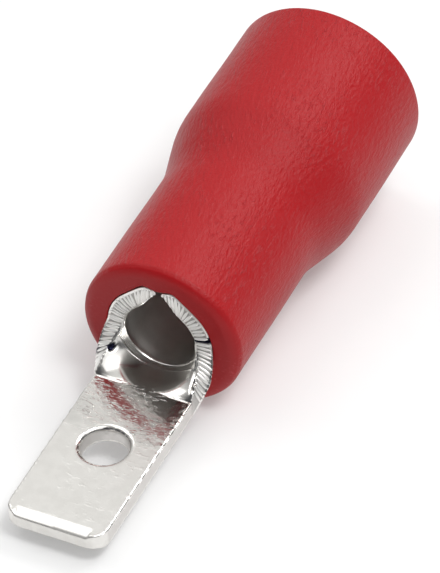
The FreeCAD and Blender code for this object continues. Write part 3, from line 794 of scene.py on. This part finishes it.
def ridge_tree():
    """Geometry nodes: points along a guide, one turned and varied ridge on each."""
    tree = bpy.data.node_groups.new("ridges_along_edge", "GeometryNodeTree")
    net = Network(tree)
    inputs = {}
    for label, kind in TREE_INPUTS:
        socket = tree.interface.new_socket(label, in_out="INPUT", socket_type="NodeSocket" + kind)
        inputs[label] = socket.identifier
    tree.interface.new_socket("Geometry", in_out="OUTPUT", socket_type="NodeSocketGeometry")
    source = net.add("NodeGroupInput")

    def named(label, kind):
        """A guide's attribute."""
        return net.add("GeometryNodeInputNamedAttribute", {"Name": label}, data_type=kind)["Attribute"]

    def chance(low, high, offset):
        """A random number per ridge."""
        values = {2: low, 3: high, "Seed": net.math("ADD", source["Seed"], offset)}
        return net.add("FunctionNodeRandomValue", values, data_type="FLOAT")[1]

    curve = net.add("GeometryNodeMeshToCurve", {"Mesh": source["Geometry"]})[0]
    spaced = {"Curve": curve, "Length": source["Spacing"]}
    stops = net.add("GeometryNodeResampleCurve", spaced, mode="LENGTH")[0]
    jitter = {0: net.add("GeometryNodeInputTangent")[0],
              "Scale": net.times(source["Jitter"], chance(-1.0, 1.0, 1))}
    shift = net.add("ShaderNodeVectorMath", jitter, operation="SCALE")[0]
    placed = net.add("GeometryNodeSetPosition", {"Geometry": stops, "Offset": shift})[0]
    blank = net.add("GeometryNodeMeshUVSphere", RIDGE_BLANK)[0]
    outward = {"Vector": named("edge_out", "FLOAT_VECTOR")}
    upright = net.add("FunctionNodeAlignRotationToVector", outward, axis="Z")[0]
    through = {"Rotation": upright, "Vector": named("edge_through", "FLOAT_VECTOR")}
    turned = net.add("FunctionNodeAlignRotationToVector", through, axis="X", pivot_axis="Z")[0]
    size = net.add("ShaderNodeCombineXYZ", {
        0: net.times(named("edge_thickness", "FLOAT"), chance(*THICKNESS_SHARES, 2)),
        1: net.times(source["Ridge Width"], chance(*WIDTH_SHARES, 3)),
        2: net.times(source["Ridge Height"], chance(*HEIGHT_SHARES, 4)),
    })[0]
    each = {"Points": placed, "Instance": blank, "Rotation": turned, "Scale": size}
    ridges = net.add("GeometryNodeInstanceOnPoints", each)[0]
    real = net.add("GeometryNodeRealizeInstances", {"Geometry": ridges})[0]
    smooth = net.add("GeometryNodeSetShadeSmooth", {"Geometry": real})[0]
    finish = {"Geometry": smooth, "Material": source["Finish"]}
    finished = net.add("GeometryNodeSetMaterial", finish)[0]
    net.feed(tree.nodes.new("NodeGroupOutput"), {0: finished})
    return tree, inputs


tree, tree_inputs = ridge_tree()
print("tree inputs:", sorted(tree_inputs))

# %% Ridges along both sheared edges
RIDGE_SETTINGS = {"Spacing": 0.11, "Ridge Width": 0.095, "Ridge Height": 0.085,
                  "Jitter": 0.025, "Seed": 11}


def guide_mesh(name, lines):
    """A mesh of polylines with the guide's directions as attributes."""
    mesh = bpy.data.meshes.new(name)
    points = np.concatenate([line[0] for line in lines])
    starts = np.cumsum([0] + [len(line[0]) for line in lines])
    edges = [(first + i, first + i + 1)
             for first, line in zip(starts, lines) for i in range(len(line[0]) - 1)]
    mesh.from_pydata([tuple(p) for p in points], edges, [])
    for part, label in enumerate(("edge_out", "edge_through", "edge_thickness"), start=1):
        store_values(mesh, label, np.concatenate([line[part] for line in lines]))
    return mesh


guide = put_in_scene("ridge_guide", guide_mesh("ridge_guide", guides))
modifier = guide.modifiers.new("ridges", "NODES")
modifier.node_group = tree
for label, value in RIDGE_SETTINGS.items():
    modifier[tree_inputs[label]] = value
made = guide.evaluated_get(bpy.context.evaluated_depsgraph_get())
ridge_mesh = bpy.data.meshes.new_from_object(made)
guide.modifiers.remove(modifier)
bpy.data.objects.remove(guide)
ridge_places = np.array([vertex.co for vertex in ridge_mesh.vertices])
store_values(ridge_mesh, "sheet_place", ridge_places * (1, 1, 0))
store_values(ridge_mesh, "ridge_top", np.ones(len(ridge_places)))
ridge_mesh.transform(LAY_DOWN)
shear_ridges = put_in_scene("shear_ridges", ridge_mesh)
print("shear_ridges:", len(ridge_mesh.polygons), "faces")

# %% [markdown]
# ## The sleeve as a turned profile
#
# The mould of a sleeve is turned, so the sleeve is a profile spun round the barrel's
# axis: a straight grip, a soft double bend out to the bell, and inside it a funnel that
# guides the wire. Only the socket isn't round, because it has to clear the raised seam.
# A lathe written as a grid, with one column per angle, can follow that too.

# %% Sleeve sizes
CLEARANCE = 0.01
SOCKET_RADIUS = OUTER_RADIUS + CLEARANCE
GRIP_RADIUS = SOCKET_RADIUS + 0.76
BELL_WALL = 0.6
ENTRY_RADIUS = mounts["wire_entry"]["dims"]["r_mm"]
BELL_RADIUS = ENTRY_RADIUS + BELL_WALL
SLEEVE_LENGTH = 10.6
GRIP_END = BARREL_LENGTH + 0.15
FLARE_START = BARREL_LENGTH - 0.6
FLARE_SLOPE = math.radians(15)
FLARE_ROUND = 2.9
FUNNEL_SLOPE = math.radians(24)
FUNNEL_ROUND = 1.0
FACE_DEPTH, FACE_BAND = 0.25, 0.36
FACE_STOPS = 14
RIM_ROUND = 0.1
MOUTH_ROUND = 0.035


def arc_points(centre, radius, first, last, count):
    """That many points on an arc, without its start. The angles are in degrees."""
    angles = np.radians(np.linspace(first, last, count + 1))[1:]
    return np.array(centre) + radius * np.column_stack((np.cos(angles), np.sin(angles)))


def outer_profile():
    """From the front face's inner edge round the outside to the wire entry's start."""
    slope = math.degrees(FLARE_SLOPE)
    rise = FLARE_ROUND * (1 - math.cos(FLARE_SLOPE))
    run = FLARE_ROUND * math.sin(FLARE_SLOPE)
    ramp = (BELL_RADIUS - GRIP_RADIUS - 2 * rise) / math.tan(FLARE_SLOPE)
    crown = FLARE_START + 2 * run + ramp
    rim = SLEEVE_LENGTH - RIM_ROUND
    rim_top, rim_foot = BELL_RADIUS - RIM_ROUND, ENTRY_RADIUS + RIM_ROUND
    bell_line = (FLARE_START + run, GRIP_RADIUS + rise)
    bell_end = (FLARE_START + run + ramp, BELL_RADIUS - rise)
    turn = np.linspace(math.pi / 2, 0, FACE_STOPS)
    face = (FACE_DEPTH * (1 - np.sin(turn)), GRIP_RADIUS - FACE_BAND * (1 - np.cos(turn)))
    return np.vstack((
        np.column_stack(face),
        line_points((FACE_DEPTH, GRIP_RADIUS), (FLARE_START, GRIP_RADIUS), 34),
        arc_points((FLARE_START, GRIP_RADIUS + FLARE_ROUND), FLARE_ROUND, 270, 270 + slope, 11),
        line_points(bell_line, bell_end, 9),
        arc_points((crown, BELL_RADIUS - FLARE_ROUND), FLARE_ROUND, 90 + slope, 90, 11),
        line_points((crown, BELL_RADIUS), (rim, BELL_RADIUS), 30),
        arc_points((rim, rim_top), RIM_ROUND, 90, 0, 7),
        line_points((SLEEVE_LENGTH, rim_top), (SLEEVE_LENGTH, rim_foot), 5),
        arc_points((rim, rim_foot), RIM_ROUND, 0, -90, 7),
    ))


def funnel_profile():
    """From the wire entry down the funnel to the barrel's end."""
    slope = math.degrees(FUNNEL_SLOPE)
    lip = FUNNEL_ROUND * (1 - math.cos(FUNNEL_SLOPE))
    funnel_run = (ENTRY_RADIUS - lip - SOCKET_RADIUS) / math.tan(FUNNEL_SLOPE)
    entry = GRIP_END + funnel_run + FUNNEL_ROUND * math.sin(FUNNEL_SLOPE)
    return np.vstack((
        line_points((SLEEVE_LENGTH - RIM_ROUND, ENTRY_RADIUS), (entry, ENTRY_RADIUS), 18),
        arc_points((entry, ENTRY_RADIUS - FUNNEL_ROUND), FUNNEL_ROUND, 90, 90 + slope, 6),
        line_points((GRIP_END + funnel_run, ENTRY_RADIUS - lip), (GRIP_END, SOCKET_RADIUS), 8),
    ))


OUTER_PROFILE = outer_profile()
FUNNEL_PROFILE = funnel_profile()
print("profile:", len(OUTER_PROFILE) + len(FUNNEL_PROFILE), "points")

# %% The socket's outline round the raised seam
corner_socket = run_out(SOCKET_RADIUS, SEAM_GAP + SEAM_SHOULDER)[1]


def socket_reach(angle):
    """The socket's radius at an angle from the seam."""
    away = abs(math.remainder(angle, 2 * math.pi))
    if away >= SEAM_RISE:
        return SOCKET_RADIUS
    straight = SOCKET_RADIUS / math.cos(SEAM_RISE - away)
    falling = (corner_socket[1] - corner_socket[0] * math.tan(SEAM_SLOPE))
    falling /= math.cos(away) - math.sin(away) * math.tan(SEAM_SLOPE)
    return min(straight, falling)


TURN_STEPS = 240
SOCKET_SOFTENING = 5
turns = np.linspace(0, 2 * math.pi, TURN_STEPS, endpoint=False)
socket_radii = np.array([socket_reach(turn) for turn in turns])
for _ in range(SOCKET_SOFTENING):
    socket_radii = (np.roll(socket_radii, 1) + 2 * socket_radii + np.roll(socket_radii, -1)) / 4
print("socket stands", round(float(socket_radii.max()) - SOCKET_RADIUS, 3), "mm out at the seam")

# %% Spin the profile
FACE_STEPS = 6
SOCKET_STEPS = 12


def sleeve_column(socket):
    """The closed profile where the socket has that radius, from its mouth all the way round."""
    return np.vstack((
        (MOUTH_ROUND, socket),
        arc_points((MOUTH_ROUND, socket + MOUTH_ROUND), MOUTH_ROUND, 270, 180, 4),
        line_points((0, socket + MOUTH_ROUND), (0, GRIP_RADIUS - FACE_BAND), FACE_STEPS),
        OUTER_PROFILE[1:],
        FUNNEL_PROFILE,
        (GRIP_END, socket),
        line_points((GRIP_END, socket), (MOUTH_ROUND, socket), SOCKET_STEPS),
    ))


columns = np.array([sleeve_column(radius) for radius in socket_radii])
reach, turn = columns[..., 1], turns[:, None]
sleeve_points = np.stack((columns[..., 0], -reach * np.sin(turn), reach * np.cos(turn)), axis=-1)
sleeve_skin = Skin()
sleeve_skin.add_grid(np.concatenate((sleeve_points, sleeve_points[:1])), None, False)
print("sleeve:", len(sleeve_skin.faces), "quads")

# %% [markdown]
# ## Unevenness that a soft moulding keeps
#
# A vinyl sleeve leaves its mould warm, and none is quite straight. A slow noise that
# only ever takes a few hundredths of a millimetre away bends the highlights a little,
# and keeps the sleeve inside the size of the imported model.

# %% Sink the sleeve's skin a little here and there
SINK_DEPTH = 0.03
SINK_SIZE = 1.9
SINK_FROM = SOCKET_RADIUS + 0.35
FACE_SMOOTHNESS, FACE_MARGIN = 0.15, 0.02
SLEEVE_MERGE, SLEEVE_SHARP = 1e-5, 50


def soften_sleeve(mesh):
    """Move outer points slightly towards the axis, and close the skin."""
    for vertex in mesh.vertices:
        radius = math.hypot(vertex.co.y, vertex.co.z)
        if radius > SINK_FROM and vertex.co.x > FACE_DEPTH / 2:
            depth = SINK_DEPTH * (0.5 + 0.5 * noise.noise(vertex.co / SINK_SIZE))
            vertex.co.y *= 1 - depth / radius
            vertex.co.z *= 1 - depth / radius
    behind_face = np.array([vertex.co.x - FACE_MARGIN for vertex in mesh.vertices]) / FACE_DEPTH
    store_values(mesh, "moulded_skin", np.clip(behind_face, FACE_SMOOTHNESS, 1))
    print("open edges:", close_and_smooth(mesh, SLEEVE_MERGE, SLEEVE_SHARP))


vinyl_sleeve = mesh_piece("vinyl_sleeve", sleeve_skin, soften_sleeve)
print("vinyl_sleeve:", len(vinyl_sleeve.data.polygons), "faces")

# %% [markdown]
# ## Groups and materials
#
# An effect that several materials share is a group with named sockets, and a material
# is a Principled shader whose inputs the lines below feed.

# %% Groups and materials


def new_group(name, inputs, outputs):
    """A shader group with named sockets: its network, its inputs and its output node."""
    tree = bpy.data.node_groups.new(name, "ShaderNodeTree")
    for label, kind, value in inputs:
        socket = tree.interface.new_socket(label, in_out="INPUT", socket_type=kind)
        if value is not None:
            socket.default_value = value
    for label in outputs:
        tree.interface.new_socket(label, in_out="OUTPUT", socket_type="NodeSocketFloat")
    network = Network(tree)
    return network, network.add("NodeGroupInput"), tree.nodes.new("NodeGroupOutput")


def new_material(name, values):
    """A material whose Principled shader has those values, its network and its shader."""
    material = bpy.data.materials.new(name)
    material.use_nodes = True
    network = Network(material.node_tree)
    shader = next(node for node in network.tree.nodes if node.type == "BSDF_PRINCIPLED")
    network.feed(shader, values)
    return material, network, shader


print("groups and materials ready")

# %% [markdown]
# ## Scratches as one shared effect
#
# The plating and the vinyl are scratched alike: fine parallel marks with places where
# they are denser. One node group makes them from any coordinates: stretched noise for
# the marks, slow noise for where they lie. Each material places it with its own
# direction, size and amount, because scuffs in vinyl are coarser than marks on metal.

# %% Fine parallel marks
PATCH_EDGE = (0.40, 0.62)
MARK_EDGE = (0.55, 0.72)
marks, given, marks_out = new_group(
    "parallel_marks",
    [("Vector", "NodeSocketVector", None), ("Fineness", "NodeSocketFloat", 30.0),
     ("Length", "NodeSocketFloat", 8.0), ("Patch Size", "NodeSocketFloat", 1.0),
     ("Amount", "NodeSocketFloat", 0.5)],
    ["Marks", "Fibres"],
)
lengthwise = marks.math("DIVIDE", given["Fineness"], given["Length"])
stretch = {0: given["Fineness"], 1: lengthwise, 2: given["Fineness"]}
stretched = marks.vector("MULTIPLY", given["Vector"], marks.add("ShaderNodeCombineXYZ", stretch)[0], 0)
fibres = marks.cloud(stretched, 1.0, 3.0, Roughness=0.65)
patches = marks.ramp(marks.cloud(given["Vector"], given["Patch Size"], 2.0), *PATCH_EDGE)
patchy = marks.times(marks.ramp(fibres, *MARK_EDGE), patches)
marks.feed(marks_out, {"Marks": marks.times(patchy, given["Amount"]), "Fibres": fibres})


def place_marks(network, vector, fineness, length, patch_size, amount):
    """The shared group placed in a material, and its outputs."""
    values = {"Vector": vector, "Fineness": fineness, "Length": length,
              "Patch Size": patch_size, "Amount": amount}
    return network.add("ShaderNodeGroup", values, node_tree=marks.tree)


print("group:", marks.tree.name, "with", len(marks.tree.nodes), "nodes")

# %% [markdown]
# ## Tin plating
#
# Matt tin over a rolled sheet is a light warm grey, satin rather than bright. Rolling
# the sheet rubs it smooth where the tool touched: the neck's trough is almost a mirror
# with fine scratches across, while the tab keeps its even satin and the barrel's inside
# grows dull again. So the material reads the place on the blank and works with that.

# %% Where the plating is rubbed, torn and marked
RUBBED_FROM, RUBBED_TO = -3.15, -2.75
RUBBED_WOBBLE = 0.9
TROUGH = (-1.25, -0.95)
TIP_END = (TAB_TIP + 0.10, TAB_TIP + 0.04)
BEHIND_BEVEL = (TAB_TIP + 0.35, TAB_TIP + 0.45)
INSIDE_WALL = (0.19, 0.17)
# Marks as fineness, length, patch size and amount, and noises as scale and detail.
CROSSING, GRAIN = (27.0, 5.0, 1.8, 0.9), (9.0, 2.0, 0.6, 0.6)
WOBBLE, MOTTLE, WAVES = (2.2, 3.0), (3.0, 4.0), (5.0, 2.0)
tin, plating, tin_shader = new_material("tin_plating", {"Metallic": 1.0})
place = plating.attribute("sheet_place", "Vector")
ridge_top = plating.attribute("ridge_top", "Fac")
parts = plating.add("ShaderNodeSeparateXYZ", {0: place})
wobble = plating.times(plating.cloud(place, *WOBBLE), RUBBED_WOBBLE)
rubbed = plating.ramp(plating.total(parts["X"], wobble),
                      RUBBED_FROM + RUBBED_WOBBLE / 2, RUBBED_TO + RUBBED_WOBBLE / 2)
trough = plating.ramp(parts["X"], *TROUGH)
tip_end = plating.ramp(parts["X"], *TIP_END)
inside_wall = plating.ramp(plating.math("ABSOLUTE", parts["Z"]), *INSIDE_WALL)
torn_edge = plating.times(plating.ramp(parts["X"], *BEHIND_BEVEL), inside_wall)
between = plating.times(rubbed, plating.math("SUBTRACT", 1.0, trough))
neck_marks = plating.times(place_marks(plating, place, *CROSSING)["Marks"], between)
grain = place_marks(plating, place, *GRAIN)["Marks"]
faint_marks = plating.times(grain, plating.math("SUBTRACT", 1.0, rubbed))
print("plating zones:", len(plating.tree.nodes), "nodes")

# %% Roughness of the plating
# Steps as the place or width where each begins and ends, and the values before and after.
TAB_SATIN, NECK_SATIN = 0.27, 0.13
SCRATCH_SATIN, TORN_SATIN, TIP_SATIN = 0.25, 0.28, 0.20
BARREL_SATIN = (-1.0, 0.4, 0.02, 0.19)
INSIDE_BARREL = (0.0, 0.3)
LEFT_SATIN = (-0.2, 1.0, 0.0, 0.24)
HOLE_POLISH = (HOLE_RADIUS + 0.14, HOLE_RADIUS + 0.10, 0.0, 0.15)
evenly = {"Value": rubbed, "To Min": TAB_SATIN, "To Max": NECK_SATIN}
satin = plating.total(
    plating.add("ShaderNodeMapRange", evenly)["Result"],
    plating.times(neck_marks, SCRATCH_SATIN),
    plating.ramp(parts["X"], *BARREL_SATIN),
    plating.times(plating.ramp(parts["X"], *INSIDE_BARREL), plating.ramp(parts["Y"], *LEFT_SATIN)),
    plating.times(torn_edge, TORN_SATIN),
    plating.times(tip_end, TIP_SATIN),
)
from_hole = plating.vector("DISTANCE", place, (HOLE_PLACE, 0, GAUGE / 2), "Value")
satin = plating.math("SUBTRACT", satin, plating.ramp(from_hole, *HOLE_POLISH))
plating.feed(tin_shader, {"Roughness": satin})
print("roughness on the tab", TAB_SATIN, "and on the neck", NECK_SATIN)

# %% Colour and relief of the plating
CLEAN_TIN, DULL_TIN = (0.82, 0.805, 0.775, 1), (0.775, 0.76, 0.73, 1)
SIDE_TIN, TORN_TIN = (0.72, 0.70, 0.68, 1), (0.93, 0.92, 0.90, 1)
PAINTED_GROOVE_SHADE, PAINTED_DARK = (0.50, 0.485, 0.47, 1), (0.02, 0.02, 0.05, 1)
# Painted dark spots as place, width and size: a painted dark reflection in the left dent and painted
# shade in the two nicks.
PAINTED_DARK_SPOTS = ((-0.44, 1.56, 0.15), (0.06, -FIRST_NICK, 0.10), (0.04, -SECOND_NICK, 0.08))
MOTTLE_EDGE = (0.35, 0.65)
FAINT_HEIGHT, WAVE_HEIGHT = 0.30, 0.5
TIN_RELIEF = 0.000015
# Behind the shear ridges the sheared wall of the neck and barrel is painted dark: painted shade in the
# grooves between the ridges, which keep the lighter torn colour.
edge_colour = plating.mix(trough, SIDE_TIN, plating.mix(ridge_top, PAINTED_GROOVE_SHADE, TORN_TIN))
mottle = plating.ramp(plating.cloud(place, *MOTTLE), *MOTTLE_EDGE)
colour = plating.mix(torn_edge, plating.mix(mottle, DULL_TIN, CLEAN_TIN), edge_colour)
flat_place = plating.vector("MULTIPLY", place, (1, 1, 0), 0)
# Near-black patches, kept off the ridges: a painted dark reflection in the dent and painted shade in
# the nicks.
for spot_place, spot_width, size in PAINTED_DARK_SPOTS:
    from_dark_spot = plating.vector("DISTANCE", flat_place, (spot_place, spot_width, 0), "Value")
    near = plating.ramp(from_dark_spot, size, size / 2)
    colour = plating.mix(plating.math("SUBTRACT", near, ridge_top, clamp=True), colour, PAINTED_DARK)
waves = plating.times(plating.cloud(place, *WAVES), between)
relief = plating.total(neck_marks, plating.times(faint_marks, FAINT_HEIGHT),
                       plating.times(waves, WAVE_HEIGHT))
plating.feed(tin_shader, {"Base Color": colour, "Normal": plating.bump(relief, 1.0, TIN_RELIEF)})
print("material:", tin.name)

# %% [markdown]
# ## Red vinyl
#
# The sleeve is pigmented soft vinyl: saturated red, satin, with a broad weak highlight
# where handling has scuffed it. The front face was never touched, so it is smoother.
# Roughness varies with the scuffs, and a very small bump breaks the highlight up.

# %% Red vinyl
STREAK_TURN = math.pi / 2 - 0.22
SCUFFS, CREASES = (13.0, 5.0, 0.6, 1.0), (8.0, 2.6, 0.3, 1.0)
VINYL_ROUGHNESS, SCUFF_ROUGHNESS = 0.40, 0.12
FIBRE_HEIGHT, SCUFF_HEIGHT = 0.40, 0.5
VINYL_BUMP, VINYL_RELIEF = 0.8, 0.00005
DEEP_RED, RUBBED_RED = (0.35, 0.006, 0.009, 1), (0.45, 0.034, 0.040, 1)
vinyl, moulding, vinyl_shader = new_material(
    "soft_red_vinyl", {"Specular IOR Level": 0.24, "Metallic": 0.0})
where = moulding.add("ShaderNodeTexCoord")["Object"]
to_millimetres = {"Vector": where, "Rotation": (0.0, 0.0, STREAK_TURN), "Scale": (1 / MM,) * 3}
turned = moulding.add("ShaderNodeMapping", to_millimetres)[0]
scuffs = place_marks(moulding, turned, *SCUFFS)
creases = place_marks(moulding, turned, *CREASES)
rough = moulding.total(VINYL_ROUGHNESS, moulding.times(scuffs["Marks"], SCUFF_ROUGHNESS))
relief = moulding.total(moulding.times(scuffs["Fibres"], FIBRE_HEIGHT), creases["Fibres"],
                        moulding.times(scuffs["Marks"], SCUFF_HEIGHT))
relief = moulding.times(relief, moulding.attribute("moulded_skin", "Fac"))
moulding.feed(vinyl_shader, {
    "Roughness": rough,
    "Base Color": moulding.mix(scuffs["Marks"], DEEP_RED, RUBBED_RED),
    "Normal": moulding.bump(relief, VINYL_BUMP, VINYL_RELIEF),
})
print("material:", vinyl.name)

# %% Dress the pieces
for piece, material, slot_name in (
    (rolled_blade, tin, "tinned_metal"),
    (shear_ridges, tin, "tinned_metal"),
    (vinyl_sleeve, vinyl, "red_vinyl"),
):
    piece.data.materials.clear()
    piece.data.materials.append(material)
    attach(piece, "root")
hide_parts("blade_terminal")
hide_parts("insulating_sleeve")
print("dressed three pieces")

# %% [markdown]
# ## Studio
#
# Product photographs of metal are made in a tent of white and grey. Here the world is
# bright on one side and dark on the other, which gives the metal its contrast, and the
# floor glows a little, which keeps the shadows pale. Four cards of light stand above:
# a key on the picture's left, one behind on the right, and two nearer the camera.

# %% Floor and world
FLOOR_HALF = 0.6
FLOOR_GLOW = 0.24
GREY_PAPER, PALE_PAPER = (0.60, 0.60, 0.60, 1), (0.62, 0.62, 0.62, 1)
TENT_SIDE = (0.45, 0.25, 0.86)
TENT_EDGE = (0.18, 0.93)
TENT_DARK = (0.08, 0.08, 0.085, 1)
TENT_LIGHT = (0.79, 0.79, 0.78, 1)
floor_material, paper, floor_shader = new_material(
    "paper_floor",
    {"Roughness": 0.9, "Emission Color": (1, 1, 1, 1), "Emission Strength": FLOOR_GLOW})
fibre = paper.add("ShaderNodeTexNoise", {"Scale": 900.0, "Detail": 2.0})["Fac"]
paper.feed(floor_shader, {"Base Color": paper.mix(fibre, GREY_PAPER, PALE_PAPER)})
floor_corners = [(x * FLOOR_HALF, y * FLOOR_HALF, 0)
                 for x, y in ((-1, -1), (1, -1), (1, 1), (-1, 1))]
floor_mesh = bpy.data.meshes.new("floor")
floor_mesh.from_pydata(floor_corners, [], [(0, 1, 2, 3)])
floor_mesh.materials.append(floor_material)
floor = put_in_scene("floor", floor_mesh)
world = bpy.data.worlds.new("studio")
world.use_nodes = True
sky = Network(world.node_tree)
background = next(node for node in sky.tree.nodes if node.type == "BACKGROUND")
direction = sky.add("ShaderNodeTexCoord")["Generated"]
towards = sky.vector("DOT_PRODUCT", direction, Vector(TENT_SIDE).normalized(), "Value")
sky.feed(background, {"Color": sky.mix(sky.ramp(towards, *TENT_EDGE), TENT_DARK, TENT_LIGHT)})
bpy.context.scene.world = world
bpy.context.scene.view_settings.view_transform = "Standard"
print("floor and world ready")

# %% Cards of light
MIDDLE = Vector((0, 0, 0.0025))
CARD_DISTANCE = 0.16
CARDS = {
    "key": ((0.05, 0.55, 0.90), (0.12, 0.11), 0.042),
    "back_right": ((0.60, -0.30, 0.80), (0.08, 0.06), 0.075),
    "overhead": ((-0.14, -0.42, 0.90), (0.05, 0.045), 0.100),
    "soft_overhead": ((-0.22, -0.52, 0.82), (0.18, 0.16), 0.085),
}


def light_card(name, towards_card, size, power):
    """A soft rectangular light that looks at the middle of the terminal."""
    data = bpy.data.lights.new(name, "AREA")
    data.shape = "RECTANGLE"
    data.size, data.size_y = size
    data.energy = power
    card = put_in_scene(name, data)
    card.location = MIDDLE + Vector(towards_card).normalized() * CARD_DISTANCE
    card.rotation_euler = Vector(towards_card).to_track_quat("Z", "Y").to_euler()


for name, (towards_card, size, power) in CARDS.items():
    light_card(name, towards_card, size, power)
print("cards of light:", ", ".join(CARDS))

# %% [markdown]
# ## Camera
#
# The photograph was taken from a little over a hand's breadth away with a long lens.
# The camera's place was found by fitting the tab, the hole and the round ends, and it
# is written here in the terminal's own axes, so that it goes with the part.

# %% Camera at the photograph's angle
FRAME_WIDTH, FRAME_HEIGHT = 440, 573
FOCAL_PIXELS = 4809.2
SENSOR = 36.0
CLIP = (0.001, 10)
CAMERA_PLACE = Vector((-78.442, -42.752, 86.335))
LOOKS_ALONG = Vector((0.643399, 0.33557, -0.688063))
PICTURE_DOWN = Vector((-0.635821, -0.266323, -0.724434))
camera_data = bpy.data.cameras.new("photo_camera")
camera_data.sensor_width = SENSOR
camera_data.lens = FOCAL_PIXELS * SENSOR / max(FRAME_WIDTH, FRAME_HEIGHT)
camera_data.clip_start, camera_data.clip_end = CLIP
camera = put_in_scene("photo_camera", camera_data)
look = (TURN_TO_ROW @ LOOKS_ALONG).normalized()
upward = -(TURN_TO_ROW @ PICTURE_DOWN)
upward = (upward - look * upward.dot(look)).normalized()
camera_axes = Matrix((look.cross(upward), upward, -look)).transposed()
camera.matrix_world = Matrix.Translation(LAY_DOWN @ CAMERA_PLACE) @ camera_axes.to_4x4()
bpy.context.scene.camera = camera
print("lens", round(camera_data.lens, 1), "mm")
